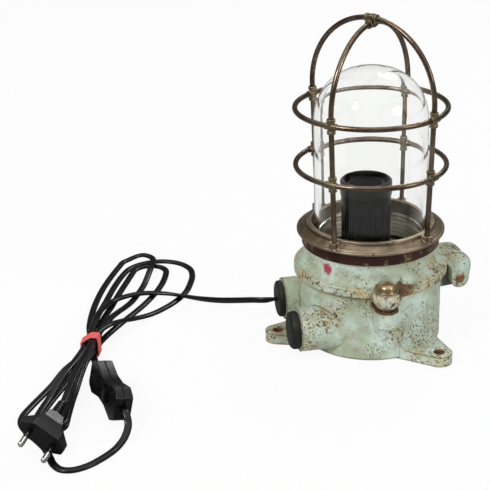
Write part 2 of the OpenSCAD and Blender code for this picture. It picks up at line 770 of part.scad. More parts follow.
module holder_contact() color(brass) {
    blade = [6, 13, 0.8];
    stub = 2.6;
    translate([holder_shift, 0, socket_z - contact_well]) {
        translate([-blade[0] / 2, -blade[1] / 2, 0]) cube(blade);
        translate([0, 0, blade[2]]) cylinder(r = 2.4, h = stub);
    }
}

// Guard

module guard_ring() color(bronze) {
    lip_r = ring_bore + 3;
    edge = 1.3;
    slope_z = collar_z + 5;
    difference() {
        union() {
            rotate_extrude()
                polygon([[ring_bore, neck_z + 0.5], [spigot_r, neck_z + 0.5], [spigot_r, collar_z],
                    [hoop_r, collar_z], [hoop_r, collar_z + edge], [lip_r + 0.8, slope_z], [lip_r, ring_z],
                    [ring_bore, ring_z]]);
            for (a = bar_angles) at_az(a, bar_foot_r, collar_z + edge / 2)
                cylinder(r = pad_r, h = pad_z - collar_z - edge / 2);
        }
        translate([0, 0, collar_z]) cylinder(r = ring_bore, h = 2 * ring_h);
    }
}

// A piece of arch tube from angle a0 to a1, counted from the level at the arch's side
module arch_piece(i, r, a0, a1) {
    at_az(bar_angles[i], 0, arch_h(i)) rotate([90, 0, 0]) rotate([0, 0, a0])
        rotate_extrude(angle = a1 - a0) translate([arch_r, 0]) circle(r = r);
}

// A straight piece along a bar, between two distances from its foot
module bar_piece(i, r, d0, d1) {
    on_bar(i, d0) cylinder(r = r, h = d1 - d0);
}

// A place on a bar, at a distance from its foot
module on_bar(i, d) at_az(bar_angles[i], bar_foot_r, pad_z) rotate([0, bar_lean[i], 0]) translate([0, 0, d]) children();

module guard_bar(i) {
    difference() {
        bar_piece(i, wire_r, -wire_r, bar_l[i]);
        at_az(bar_angles[i], bar_foot_r, pad_z - 4 * wire_r) cylinder(r = 2 * pad_r, h = 4 * wire_r);
    }
    on_bar(i, bar_l[i]) sphere(r = wire_r + 0.01);
    arch_piece(i, wire_r, -bar_lean[i], 90 - crown_half);
}

module guard_bar_1() color(bronze) guard_bar(0);

module guard_bar_2() color(bronze) guard_bar(1);

module guard_bar_3() color(bronze) guard_bar(2);

module guard_bar_4() color(bronze) guard_bar(3);

// A piece of hoop tube between two azimuths
module hoop_piece(z, r, a0, a1) {
    translate([0, 0, z]) rotate([0, 0, a0]) rotate_extrude(angle = a1 - a0) translate([hoop_r, 0]) circle(r = r);
}

function next_angle(i) = bar_angles[(i + 1) % 4] + (i == 3 ? 360 : 0);

module hoop(z) {
    for (i = [0:3]) hoop_piece(z, wire_r, bar_angles[i] + joint_half, next_angle(i) - joint_half);
}

// The cast cross where a bar passes a hoop: sleeves both ways, with a collar at each end of the bar's sleeve
module cross_joint(z, i) {
    az = bar_angles[i];
    mid = (z - pad_z) / cos(bar_lean[i]);
    half = joint_l / 2;
    difference() {
        union() {
            hoop_piece(z, joint_r - 0.15, az - joint_half, az + joint_half);
            bar_piece(i, joint_r, mid - half, mid + half);
            for (d = [-half, half - collar_ring_l]) bar_piece(i, collar_ring_r, mid + d, mid + d + collar_ring_l);
        }
        bar_piece(i, wire_r, mid - joint_l, mid + joint_l);
    }
}

module lower_hoop() color(bronze) hoop(lower_hoop_z);

module upper_hoop() color(bronze) hoop(upper_hoop_z);

module lower_joints() color(bronze) for (i = [0:3]) cross_joint(lower_hoop_z, i);

module upper_joints() color(bronze) for (i = [0:3]) cross_joint(upper_hoop_z, i);

module crown_joint() color(bronze) {
    collar_deg = 1.6;
    for (i = [0, 1]) {
        arch_piece(i, joint_r, 90 - crown_half, 90 + crown_half);
        for (d = [90 - crown_half, 90 + crown_half - collar_deg])
            arch_piece(i, collar_ring_r, d, d + collar_deg);
    }
    translate([0, 0, arch_h(1) + arch_r - joint_r + 0.3])
        cylinder(r = joint_r + 0.6, h = arch_drop + 2 * joint_r - 0.7);
}

// Cord

entry_dir = [cos(entry_az), sin(entry_az), 0];
grommet_axis = [sin(entry_az), -cos(entry_az), 0] * entry_spacing / 2 + [0, 0, entry_z];
function on_entry(d) = grommet_axis + entry_dir * d;
lead_start = on_entry(entry_face - stopper_depth);
lead_route = concat([lead_start, on_entry(entry_face + grommet_t)], lead_tail,
    [[lanes[0], waist_y, waist(2)]]);

module cord_lead() color(black) strand(spline(lead_route, 1), 8);

// One loop of the hank: a leg from its lane at the waist, a round tip, and a leg back to its lane.
// Each loop is [lane out, layer out, lane back, layer back, tip centre, tip radius, way, side out,
// bow out, bow back, layer of the run, lift of the tip's first half, share of the out leg before it falls]
hank_loops = [
    [0, 2, 1, 2, [-224.5, -160], 10.5, -1, -1, 0, -3, 1, 0, 0.38],
    [1, 2, 0, 0, [-209.5, 117], 15, 1, 1, 2, -9, 0, 1, 0.2],
    [0, 0, 1, 1, [-224.5, -160], 10.5, -1, -1, 0, -3, 0, 0, 0.2],
    [1, 1, 1, 0, [-195.5, 100.5], 15, 1, -1, -4.5, 4, 0, 0, 0.2]];
fall_share = 0.2;
function smooth(t) = let (c = min(max(t, 0), 1)) c * c * (3 - 2 * c);
function leg_z(t, lane_layer, run, tip_lift, fall) =
    let (low = layer(run))
    low + (waist(lane_layer) - low) * (1 - smooth((t - fall) / 0.4))
        + tip_lift * (cord_t + layer_gap) * smooth((t - 0.72) / 0.2);
function leg_point(lp, t, lane, lane_layer, side, bow, tip_lift, fall) =
    let (end_x = lp[4][0] + side * lp[5])
    [lanes[lane] + (end_x - lanes[lane]) * smooth(t) + bow * sin(180 * t) * smooth(4 * t),
        waist_y + (lp[4][1] - waist_y) * t, leg_z(t, lane_layer, lp[10], tip_lift, fall)];
function tip_point(lp, a) =
    [lp[4][0] + lp[7] * lp[5] * cos(a), lp[4][1] + lp[6] * lp[5] * sin(a),
        layer(lp[10]) + lp[11] * (cord_t + layer_gap) * (1 - smooth((a - 70) / 70))];
function loop_points(lp, legs, tips) = concat(
    [for (i = [0:legs - 1]) leg_point(lp, i / legs, lp[0], lp[1], lp[7], lp[8], lp[11], lp[12])],
    [for (i = [0:tips]) tip_point(lp, 180 * i / tips)],
    [for (i = [legs - 1:-1:1]) leg_point(lp, i / legs, lp[2], lp[3], -lp[7], lp[9], 0, fall_share)]);
hank_end = [lanes[1], waist_y, waist(0)];
hank_last = hank_end + [0, 3, 0];
function hank(legs, tips) =
    concat([for (lp = hank_loops) each loop_points(lp, legs, tips)], [hank_last, hank_end]);

module cord_hank() color(black) strand(hank(9, 6), 6);

// The switch's own frame: +X along its length, away from the plug's stretch, +Z out of the rocker's face
module at_switch() translate(switch_pos) rotate([0, 0, switch_turn[2]]) rotate([0, -switch_turn[1], 0])
    rotate([switch_turn[0] - 90, 0, 0]) children();
function turn_z(v, a) = [v[0] * cos(a) - v[1] * sin(a), v[0] * sin(a) + v[1] * cos(a), v[2]];
function switch_end(s) =
    switch_pos + turn_z([s * cos(switch_turn[1]), 0, s * sin(switch_turn[1])], switch_turn[2]);
far_end = switch_l / 2;
cord_in = 4;
to_switch_route = concat([hank_end], to_switch, [switch_end(far_end + 5), switch_end(far_end - cord_in)]);
module cord_to_switch() color(black) strand(spline(to_switch_route, 1), 8);

// The plug's own frame: +X along its pins, +Y across them
module at_plug() translate(plug_pos) rotate([0, 0, plug_turn[2]]) rotate([0, plug_turn[1], 0])
    rotate([plug_turn[0], 0, 0]) children();
function plug_at(x) = plug_pos + turn_z([x * cos(plug_turn[1]), 0, -x * sin(plug_turn[1])], plug_turn[2]);
tail_route = concat([switch_end(cord_in - far_end), switch_end(-far_end - 5)], tail_front, tail_loop,
    [plug_at(-plug_back - 5), plug_at(-plug_back)]);
module cord_tail() color(black) strand(spline(tail_route, 1), 8);

module inner_lead() color(black)
    strand(spline(concat([lead_start, on_entry(entry_face - stopper_depth - 5)], inner_route,
        [[holder_shift, 0, bridge_z - nut_t - 1 - run_gap]]), 1), 8);

// Least gap of the hank to itself: level strands part sideways by their width or upwards by their thickness
hank_fine = hank(36, 24);
loop_count = len(hank_fine);
apart = 10;
self_gap = min([for (i = [0:loop_count - 1 - apart]) for (j = [i + apart:loop_count - 1])
    let (d = hank_fine[i] - hank_fine[j]) max(norm([d[0], d[1]]) - cord_w, abs(d[2]) - cord_t)]);
echo(hank_self_gap = self_gap, lead = length_of(lead_route), hank = length_of(hank_fine),
    to_switch = length_of(to_switch_route), tail = length_of(tail_route));

module rubber_band() color(red_rubber) {
    side = cord_w / 2 + 0.3;
    low = waist(0) - cord_t / 2 - 0.1;
    tops = [[lanes[0], waist(2)], [lanes[1], waist(3)]];
    round_r = 1.2;
    translate([0, waist_y + band_w / 2, 0]) rotate([90, 0, 0]) linear_extrude(band_w)
        difference() {
            band_outline(side + band_t, low - band_t, tops, band_t + cord_t / 2 + 0.1, round_r + band_t);
            band_outline(side, low, tops, cord_t / 2 + 0.1, round_r);
        }
}

// The band's outline round the strands: taller over the lane of four than over the lane of three
module band_outline(side, low, tops, rise, r) {
    hull() {
        for (p = tops) {
            s = p[0] < lane_x ? -1 : 1;
            for (e = [-1, 1]) translate([p[0] + e * (side - r), p[1] + rise - r]) circle(r = r, $fn = 24);
            translate([p[0] + s * (side - r), low + r]) circle(r = r, $fn = 24);
        }
    }
}

// Switch

// Plan of the switch: a waist where the rocker is, a bulge on either side and narrower ends
module switch_plan(inset) {
    l = switch_l / 2 - inset;
    w = switch_w / 2 - inset;
    waist_w = w - 4;
    end_w = w - 3;
    bulge = switch_l / 2 - 8.2;
    waist_l = 6;
    nose = 2;
    half = [[waist_l, waist_w], [bulge, w], [l - nose, end_w], [l, end_w - nose]];
    turned = [for (i = [3:-1:0]) half[i]];
    polygon(concat([for (p = half) [p[0], p[1]]], [for (p = turned) [p[0], -p[1]]],
        [for (p = half) [-p[0], -p[1]]], [for (p = turned) [-p[0], p[1]]]));
}

rocker_z = switch_t / 2 - 2.6;
rocker_pin_r = 1.3;
cheek_t = 2.2;
switch_screw_x = switch_l / 2 - 9;
switch_screw_r = 1.4;
post_r = 3;

module switch_slots() {
    for (s = [0, 180]) rotate([0, 0, s]) translate([switch_l / 2 - 6, 0, 0]) rotate([0, 90, 0])
        cylinder(r = cord_w / 2 + 2 * fit, h = 8);
}

module switch_back() color(black) {
    at_switch()
        difference() {
            union() {
                difference() {
                    translate([0, 0, -switch_t / 2]) linear_extrude(switch_t / 2) switch_plan(0);
                    translate([0, 0, -switch_t / 2 + switch_wall]) linear_extrude(switch_t) switch_plan(switch_wall);
                }
                for (s = [-1, 1]) translate([s * switch_screw_x, 4, -switch_t / 2])
                    cylinder(r = post_r, h = switch_t / 2);
            }
            for (s = [-1, 1]) translate([s * switch_screw_x, 4, -switch_t / 2 - cut])
                cylinder(r = switch_screw_r + fit, h = switch_t);
            switch_slots();
        }
}

module switch_front() color(black) {
    window = [rocker_l + 1.4, rocker_w + 0.7];
    at_switch()
        difference() {
            union() {
                difference() {
                    linear_extrude(switch_t / 2) switch_plan(0);
                    translate([0, 0, -cut]) linear_extrude(switch_t / 2 - switch_wall + cut) switch_plan(switch_wall);
                }
                for (s = [-1, 1]) translate([s * switch_screw_x, 4, 0]) cylinder(r = post_r, h = switch_t / 2 - cut);
                for (s = [-1, 1]) translate([-3.5, s * (window[1] + cheek_t) / 2 - cheek_t / 2, rocker_z - 3])
                    cube([7, cheek_t, switch_t / 2 - rocker_z + 3 - cut / 2]);
            }
            translate([-window[0] / 2, -window[1] / 2, 0]) cube([window[0], window[1], switch_t]);
            translate([0, 0, rocker_z]) rotate([90, 0, 0])
                cylinder(r = rocker_pin_r + fit, h = window[1] + 2 * cheek_t + cut, center = true);
            for (s = [-1, 1]) translate([s * switch_screw_x, 4, -cut])
                cylinder(r = switch_screw_r + fit, h = switch_t / 2 - 2);
            switch_slots();
        }
}

module switch_rocker() color(grey_rubber) {
    half = rocker_l / 2;
    at_switch() translate([0, 0, rocker_z]) {
        rotate([0, rocker_tilt, 0]) translate([0, rocker_w / 2, 0]) rotate([90, 0, 0]) linear_extrude(rocker_w)
            polygon([[-half, -1.6], [half, -1.6], [half, 3.4], [half / 2, 3.1], [0, 2.5], [-half / 2, 3.1], [-half, 3.4]]);
        rotate([90, 0, 0]) cylinder(r = rocker_pin_r, h = rocker_w + 2 * cheek_t, center = true);
    }
}

module switch_screws() color(steel) {
    at_switch()
        for (s = [-1, 1]) translate([s * switch_screw_x, 4, -switch_t / 2]) {
            cylinder(r = switch_screw_r, h = switch_t - 4);
            translate([0, 0, -0.8]) cylinder(r = 1.8 * switch_screw_r, h = 0.8);
        }
}

// Plug

module plug_face(shrink) {
    w = plug_w / 2 - shrink;
    t = plug_t / 2 - shrink;
    rise = 4.4;
    run = 7.4;
    polygon([[-w, -t + rise], [-w + run, -t], [w - run, -t], [w, -t + rise],
        [w, t - rise], [w - run, t], [-w + run, t], [-w, t - rise]]);
}

grip_start = [14.6, 11.2];
grip_end = [10.6, 9.4];
sleeve_r = 4.6;
pin_in = 8;

// A thin slice across the plug's grip
module plug_slice(x, size) translate([x, -size[0] / 2, -size[1] / 2]) cube([0.4, size[0], size[1]]);

module plug_body() color(black) {
    grooves = 4;
    step = (sleeve_l - 3) / grooves;
    grip_x = -plug_d - shoulder_l;
    at_plug()
        difference() {
            union() {
                rotate([90, 0, 90]) translate([0, 0, -plug_d]) linear_extrude(plug_d) plug_face(0);
                hull() {
                    rotate([90, 0, 90]) translate([0, 0, -plug_d]) linear_extrude(0.4) plug_face(0);
                    plug_slice(grip_x, grip_start);
                }
                hull() {
                    plug_slice(grip_x, grip_start);
                    plug_slice(grip_x - grip_l, grip_end);
                }
                translate([grip_x - grip_l, 0, 0]) rotate([0, -90, 0]) rotate_extrude()
                    polygon(concat([[0, -cut]], [for (i = [0:grooves - 1])
                        let (x = i * step, r = sleeve_r - 0.25 * i)
                        each [[r, x == 0 ? -cut : x], [r, x + step * 0.55], [r - 1, x + step * 0.6], [r - 1, x + step * 0.95]]],
                        [[sleeve_r - 1, sleeve_l - 3], [sleeve_r - 1, sleeve_l], [0, sleeve_l]]));
            }
            for (s = [-1, 1]) translate([-pin_in, s * pin_spacing / 2, 0]) rotate([0, 90, 0])
                cylinder(d = plug_pin_d, h = pin_in + cut);
        }
}

module plug_pins() color(steel) {
    nose = 1;
    at_plug()
        for (s = [-1, 1]) translate([-pin_in, s * pin_spacing / 2, 0]) rotate([0, 90, 0]) {
            cylinder(d = plug_pin_d, h = pin_in + plug_pin_l - nose);
            translate([0, 0, pin_in + plug_pin_l - nose])
                cylinder(d1 = plug_pin_d, d2 = plug_pin_d - 1.6 * nose, h = nose);
        }
}

housing();
cover_gasket();
hinge_pin();
cord_grommet();
blanking_plug();
cord_clamp();
clamp_screws();
inner_lead();
cover();
screw_washers();
cover_screw_front();
cover_screw_rear();
neck_collar();
globe_gasket();
glass_globe();
holder_bridge();
bridge_screws();
threaded_tube();
lock_nuts();
holder_cap();
holder_body();
holder_insert();
holder_socket();
holder_contact();
guard_ring();
guard_bar_1();
guard_bar_2();
guard_bar_3();
guard_bar_4();
lower_hoop();
upper_hoop();
lower_joints();
upper_joints();
crown_joint();
cord_lead();
cord_hank();
cord_to_switch();
cord_tail();
rubber_band();
switch_back();
switch_front();
switch_rocker();
switch_screws();
plug_body();
plug_pins();
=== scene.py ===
# %% [markdown]
# # A ship's lamp that became a table lamp
# The lamp is a cast box with a hinged cover, a screwed glass globe, a bronze guard and a corded plug.
# Its solids come from the CAD frame, already in place and in metres.
# This lesson gives each solid a merged, smoothly shaded skin, winds the soft pieces and mixes the finishes.

# %% Load the frame
import json
import math
from collections import namedtuple

import bmesh
import bpy
from mathutils import Matrix, Vector


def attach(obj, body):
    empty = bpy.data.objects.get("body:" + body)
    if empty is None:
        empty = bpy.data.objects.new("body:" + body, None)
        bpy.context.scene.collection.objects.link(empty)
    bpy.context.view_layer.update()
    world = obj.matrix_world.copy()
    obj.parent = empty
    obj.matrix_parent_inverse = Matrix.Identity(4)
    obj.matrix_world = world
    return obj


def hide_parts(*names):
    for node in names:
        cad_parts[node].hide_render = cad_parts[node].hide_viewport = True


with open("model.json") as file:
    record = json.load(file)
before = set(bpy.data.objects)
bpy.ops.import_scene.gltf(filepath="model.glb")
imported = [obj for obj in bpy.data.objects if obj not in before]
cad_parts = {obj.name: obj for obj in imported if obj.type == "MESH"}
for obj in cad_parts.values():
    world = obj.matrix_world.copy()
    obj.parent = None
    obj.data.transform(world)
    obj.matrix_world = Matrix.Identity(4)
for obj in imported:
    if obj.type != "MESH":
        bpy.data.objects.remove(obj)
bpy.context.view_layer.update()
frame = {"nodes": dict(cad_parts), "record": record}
MM = 0.001
body_of_node = {n: body for body, nodes in frame["record"]["behaviour"]["bodies"].items() for n in nodes}
slot_of_node = {s["node"]: s["material_slot"] for s in frame["record"]["subparts"]}

# %% [markdown]
# ## The camera
# A product photograph is taken with a long lens from a little above the object.
# A camera could be moved by eye until the picture fits. This one was fitted instead: its place and three
# turns are those at which the hoops, the holder and the feet fall where the photograph has them.
# The columns of a camera's matrix are its right, its up and its backward direction.

# %% Camera
picture_pixels, focal_pixels, sensor_mm = 490, 1300, 36
camera_place = Vector((0, -0.940824, 0.477648))
yaw, pitch, roll = (math.radians(a) for a in (-5.98, 23.17, -1.94))
forward = Vector((math.sin(yaw) * math.cos(pitch), math.cos(yaw) * math.cos(pitch), -math.sin(pitch)))
level_right = Vector((math.cos(yaw), -math.sin(yaw), 0))
level_up = level_right.cross(forward)
right = math.cos(roll) * level_right + math.sin(roll) * level_up
up = math.cos(roll) * level_up - math.sin(roll) * level_right

camera = bpy.data.objects.new("camera", bpy.data.cameras.new("camera"))
camera.data.sensor_width = sensor_mm
camera.data.lens = sensor_mm * focal_pixels / picture_pixels
turn = Matrix((right, up, -forward)).transposed()
camera.matrix_world = Matrix.Translation(camera_place) @ turn.to_4x4()
bpy.context.collection.objects.link(camera)
bpy.context.scene.camera = camera
print("lens", round(camera.data.lens, 1), "mm")

# %% [markdown]
# ## Where the switch and the plug lie
# The switch and the plug lie turned on the table. They could be placed by turning their objects, but here
# every piece keeps its place in its mesh. So each has a frame, the same that the CAD uses, which gives the
# places where the cord goes into it and later the places of its finishes.


# %% Frames of the switch, the plug and the entry
def lying_frame(place, turned, tipped, rolled):
    """A frame at a place in mm, turned about Z and then about its own Y and X, in degrees."""
    lying = Matrix.Translation(Vector(place) * MM)
    for angle, axis in ((turned, "Z"), (tipped, "Y"), (rolled, "X")):
        lying = lying @ Matrix.Rotation(math.radians(angle), 4, axis)
    return lying


switch_frame = lying_frame((-185.8, -132.4, 15.1), 118.6, -1.7, 12.7 - 90)
plug_frame = lying_frame((-221, -199.2, 14.9), -96.3, 1.2, -36.5)
switch_half, plug_back, cord_in = 29 * MM, 44 * MM, 4 * MM

entry_turn = math.radians(195.5)
entry_aside_mm, entry_height_mm, grommet_reach_mm = 29, 21.5, 64.9
entry_out = Vector((math.cos(entry_turn), math.sin(entry_turn), 0))
entry_across = Vector((math.sin(entry_turn), -math.cos(entry_turn), 0))
entry_axis = entry_across * entry_aside_mm * MM + Vector((0, 0, entry_height_mm * MM))
grommet_face = entry_axis + entry_out * grommet_reach_mm * MM


def on_switch(x):
    return switch_frame @ Vector((x, 0, 0))


def on_plug(x):
    return plug_frame @ Vector((x, 0, 0))


print("the cord leaves the grommet at", [round(c, 4) for c in grommet_face])

# %% [markdown]
# ## Adding nodes in few words
# Every finish below is a tree of shader nodes. Wired one by one, they would hide the idea behind their
# sockets. Instead one helper adds a node, sets its options and fills its inputs, with a number, a colour or
# a link, and a few short ones stand on it, so that a finish reads as a list of what it is made of.


# %% Node helpers
def put(tree, kind, inputs=(), **options):
    """Adds a shader node. Inputs are pairs of a socket's name or number and a value or a socket to link."""
    node = tree.nodes.new("ShaderNode" + kind)
    for name, value in options.items():
        setattr(node, name, value)
    for key, value in dict(inputs).items():
        if isinstance(value, bpy.types.NodeSocket):
            tree.links.new(value, node.inputs[key])
        else:
            node.inputs[key].default_value = value
    return node


def colour(r, g, b):
    return (r, g, b, 1.0)


def grey(value):
    return colour(value, value, value)


def mix_colours(tree, factor, first, second):
    """The first colour where the factor is 0 and the second where it is 1."""
    return put(tree, "Mix", {0: factor, 6: first, 7: second}, data_type="RGBA").outputs[2]


def calc(tree, operation, a, b=0.0):
    return put(tree, "Math", {0: a, 1: b}, operation=operation).outputs[0]


def measure(tree, operation, a, b=(0, 0, 0)):
    """A number from vectors: the distance or dot product of two, or the length of one."""
    return put(tree, "VectorMath", {0: a, 1: b}, operation=operation).outputs["Value"]


def ramp(tree, value, low, high, out_low=0.0, out_high=1.0):
    """A value taken from one range to another, and held at its ends."""
    fields = {"Value": value, "From Min": low, "From Max": high, "To Min": out_low, "To Max": out_high}
    return put(tree, "MapRange", fields, clamp=True).outputs[0]


def between(tree, value, low, high, soft):
    """1 between two values and 0 beyond them."""
    return calc(tree, "MULTIPLY", ramp(tree, value, low - soft, low), ramp(tree, value, high + soft, high))


def noise(tree, place, scale, detail, roughness=0.5):
    fields = {"Vector": place, "Scale": scale, "Detail": detail, "Roughness": roughness}
    return put(tree, "TexNoise", fields).outputs[0]


# %% Places, bumps and finishes
bevel_samples = 6


def object_place(tree):
    return put(tree, "TexCoord").outputs["Object"]


def level_of(tree, place):
    """A place without its height."""
    return put(tree, "VectorMath", {0: place, 1: (1, 1, 0)}, operation="MULTIPLY").outputs[0]


def bump(tree, height, distance, strength, corner=0.0):
    """A bumped normal, over corners that look rounded to a radius if one is given."""
    inputs = {"Height": height, "Distance": distance, "Strength": strength}
    if corner:
        inputs["Normal"] = put(tree, "Bevel", {"Radius": corner}, samples=bevel_samples).outputs[0]
    return put(tree, "Bump", inputs).outputs[0]


def new_finish(name, **plain):
    """A material with a Principled shader whose plain values are set on its own sockets."""
    material = bpy.data.materials.new(name)
    material.use_nodes = True
    tree = material.node_tree
    shader = tree.nodes["Principled BSDF"]
    for key, value in plain.items():
        shader.inputs[key.replace("_", " ")].default_value = value
    return material, tree, shader


def feed(tree, shader, **sockets):
    for key, socket in sockets.items():
        tree.links.new(socket, shader.inputs[key.replace("_", " ")])


# %% [markdown]
# ## Three effects that many finishes share
# *Spots* is a noise cut off at a threshold, for specks, stains and flakes.
# *Rubbed edge* finds corners: the Bevel node blends the normals near an edge, so where its normal turns
# away from the surface's own there is a corner, which a noise then breaks up as real rubbing does.
# *Cast skin* is the low, uneven height of a surface that was cast and painted by brush.
# Each could be repeated in every material. As a node group it is built once and placed with its own values.


# %% Spots
def new_group(name, output, **numbers):
    """A group with a place and some numbers going in and one number coming out."""
    group = bpy.data.node_groups.new(name, "ShaderNodeTree")
    group.interface.new_socket("Place", in_out="INPUT", socket_type="NodeSocketVector")
    for label, value in numbers.items():
        socket = group.interface.new_socket(label, in_out="INPUT", socket_type="NodeSocketFloat")
        socket.default_value = value
    group.interface.new_socket(output, in_out="OUTPUT", socket_type="NodeSocketFloat")
    return group, group.nodes.new("NodeGroupInput").outputs, group.nodes.new("NodeGroupOutput").inputs[0]


spots_group, given, made = new_group("spots", "Mask", Scale=100.0, Roughness=0.6, Cut=0.6, Soft=0.03)
field = noise(spots_group, given["Place"], given["Scale"], 5.0, given["Roughness"])
full_from = calc(spots_group, "ADD", given["Cut"], given["Soft"])
spots_group.links.new(ramp(spots_group, field, given["Cut"], full_from), made)


def spots(tree, place, scale, cut, soft, roughness=0.6):
    fields = {"Place": place, "Scale": scale, "Cut": cut, "Soft": soft, "Roughness": roughness}
    return put(tree, "Group", fields, node_tree=spots_group).outputs["Mask"]


# %% Rubbed edge
flat_likeness, corner_likeness = 0.998, 0.86
rubbed_group, given, made = new_group("rubbed_edge", "Mask", Width=0.001, Scale=200.0, Amount=0.5)
blended = put(rubbed_group, "Bevel", {"Radius": given["Width"]}, samples=bevel_samples).outputs[0]
own = put(rubbed_group, "NewGeometry").outputs["Normal"]
likeness = measure(rubbed_group, "DOT_PRODUCT", blended, own)
corner = ramp(rubbed_group, likeness, flat_likeness, corner_likeness)
field = noise(rubbed_group, given["Place"], given["Scale"], 4.0, 0.65)
patchy = calc(rubbed_group, "MULTIPLY", corner, calc(rubbed_group, "ADD", field, 0.35))
bare_from = calc(rubbed_group, "SUBTRACT", 1.0, given["Amount"])
broken = ramp(rubbed_group, patchy, bare_from, calc(rubbed_group, "ADD", bare_from, 0.12))
rubbed_group.links.new(broken, made)


def rubbed_edge(tree, place, width, scale, amount):
    fields = {"Place": place, "Width": width, "Scale": scale, "Amount": amount}
    return put(tree, "Group", fields, node_tree=rubbed_group).outputs["Mask"]


# %% Cast skin
grain_share = 0.25
skin_group, given, made = new_group("cast_skin", "Height", Lumps=60.0, Grain=900.0)
lumps = noise(skin_group, given["Place"], given["Lumps"], 3.0)
grain = noise(skin_group, given["Place"], given["Grain"], 2.0)
skin_group.links.new(calc(skin_group, "ADD", lumps, calc(skin_group, "MULTIPLY", grain, grain_share)), made)


def cast_skin(tree, place, lumps, grain):
    fields = {"Place": place, "Lumps": lumps, "Grain": grain}
    return put(tree, "Group", fields, node_tree=skin_group).outputs["Height"]


print("groups:", [g.name for g in bpy.data.node_groups])

# %% [markdown]
# ## Mint paint on cast metal
# The box and its cover were brushed with thick paint many times, and salt water has lifted it since.
# A painted picture could hold every chip, but only from the side that it was painted for. Noise and masks
# give the same kinds of wear all round, and a few points say where the most wear is.
# From the top down there are a mint coat that drifts between green and blue, a cream undercoat where hands
# and tools rubbed the corners, and rust where that broke through. Each layer is a mask over the one before.


# %% Masks by place
def near_point(tree, place, point, reach, ragged):
    """1 within a ragged blot round a point, and 0 outside it."""
    wander = calc(tree, "SUBTRACT", noise(tree, place, 2.6 / reach, 5.0, 0.7), 0.5)
    away = calc(tree, "ADD", measure(tree, "DISTANCE", place, point), calc(tree, "MULTIPLY", wander, ragged))
    return ramp(tree, away, reach, reach * 0.7)


def any_of(tree, *masks):
    """The highest of several masks."""
    highest = masks[0]
    for mask in masks[1:]:
        highest = calc(tree, "MAXIMUM", highest, mask)
    return highest


def both_of(tree, a, b):
    return calc(tree, "MULTIPLY", a, b)


# %% Where the paint wears
# Each worn place is a point and a reach, in metres
worn_places = (
    ((-0.031, -0.046, 0.033), 0.012), ((-0.024, -0.050, 0.044), 0.008), ((-0.046, -0.058, 0.012), 0.010),
    ((0.020, -0.0515, 0.021), 0.010), ((0.053, -0.025, 0.064), 0.015), ((0.068, 0.014, 0.062), 0.010),
    ((0.0385, -0.052, 0.008), 0.013), ((0.0560, -0.0600, 0.006), 0.011), ((-0.0740, -0.0200, 0.006), 0.014))
screw_ear = (0.0127, -0.0596, 0.0)
pin_way = (-0.342, 0.940, 0.0)
foot_holes = ((0.0530, -0.0530, 0.0), (0.0194, 0.0724, 0.0), (-0.0724, -0.0194, 0.0))
blot_point, dent_point = (0.0245, -0.0560, 0.0605), (0.0676, 0.0241, 0.062)
fleck_point = (-0.0335, -0.0425, 0.0715)
Where = namedtuple("Where", "place level height radius patches rim ear tired")


def find_places(tree):
    """What the layers of paint share: coordinates, and masks of the rim, the front ear and worn places."""
    place = object_place(tree)
    height = put(tree, "SeparateXYZ", {0: place}).outputs["Z"]
    level = level_of(tree, place)
    radius = measure(tree, "LENGTH", level)
    patches = noise(tree, place, 48.0, 6.0, 0.65)
    at_rim = between(tree, radius, 0.0566, 0.0612, 0.0006)
    rim = both_of(tree, at_rim, between(tree, height, 0.0512, 0.0622, 0.001))
    by_ear = ramp(tree, measure(tree, "DISTANCE", level, screw_ear), 0.0140, 0.0118)
    ear = both_of(tree, by_ear, between(tree, height, 0.0462, 0.0640, 0.0008))
    tired = [near_point(tree, place, point, reach, 1.3 * reach) for point, reach in worn_places]
    return Where(place, level, height, radius, patches, rim, ear, any_of(tree, *tired))


# %% Coat, undercoat, rust and painted shade in the foot holes
def mint_coat(tree, at):
    """The top coat, which drifts between green and blue and holds grime."""
    drift = ramp(tree, noise(tree, at.place, 22.0, 4.0, 0.6), 0.40, 0.56)
    coat = mix_colours(tree, drift, colour(0.44, 0.50, 0.36), colour(0.55, 0.66, 0.54))
    coat = mix_colours(tree, ramp(tree, at.patches, 0.48, 0.66), coat, colour(0.66, 0.80, 0.74))
    grime = spots(tree, at.place, 75.0, 0.46, 0.22, 0.75)
    return mix_colours(tree, calc(tree, "MULTIPLY", grime, 0.7), coat, colour(0.33, 0.31, 0.18))


def cream_undercoat(tree, at):
    """A mask and a tone: cream at rubbed corners, in thin paint, on the rim and ear and in worn places."""
    rubbed = rubbed_edge(tree, at.place, 0.0034, 140.0, 0.62)
    thin = calc(tree, "MULTIPLY", spots(tree, at.place, 30.0, 0.56, 0.16), 0.4)
    on_rim = both_of(tree, at.rim, spots(tree, at.place, 85.0, 0.46, 0.12))
    on_ear = both_of(tree, at.ear, spots(tree, at.place, 85.0, 0.36, 0.16))
    on_tired = both_of(tree, at.tired, spots(tree, at.place, 260.0, 0.46, 0.12))
    light = ramp(tree, at.patches, 0.4, 0.6)
    tone = mix_colours(tree, light, colour(0.50, 0.42, 0.21), colour(0.68, 0.63, 0.43))
    return any_of(tree, rubbed, thin, on_rim, on_ear, on_tired), tone


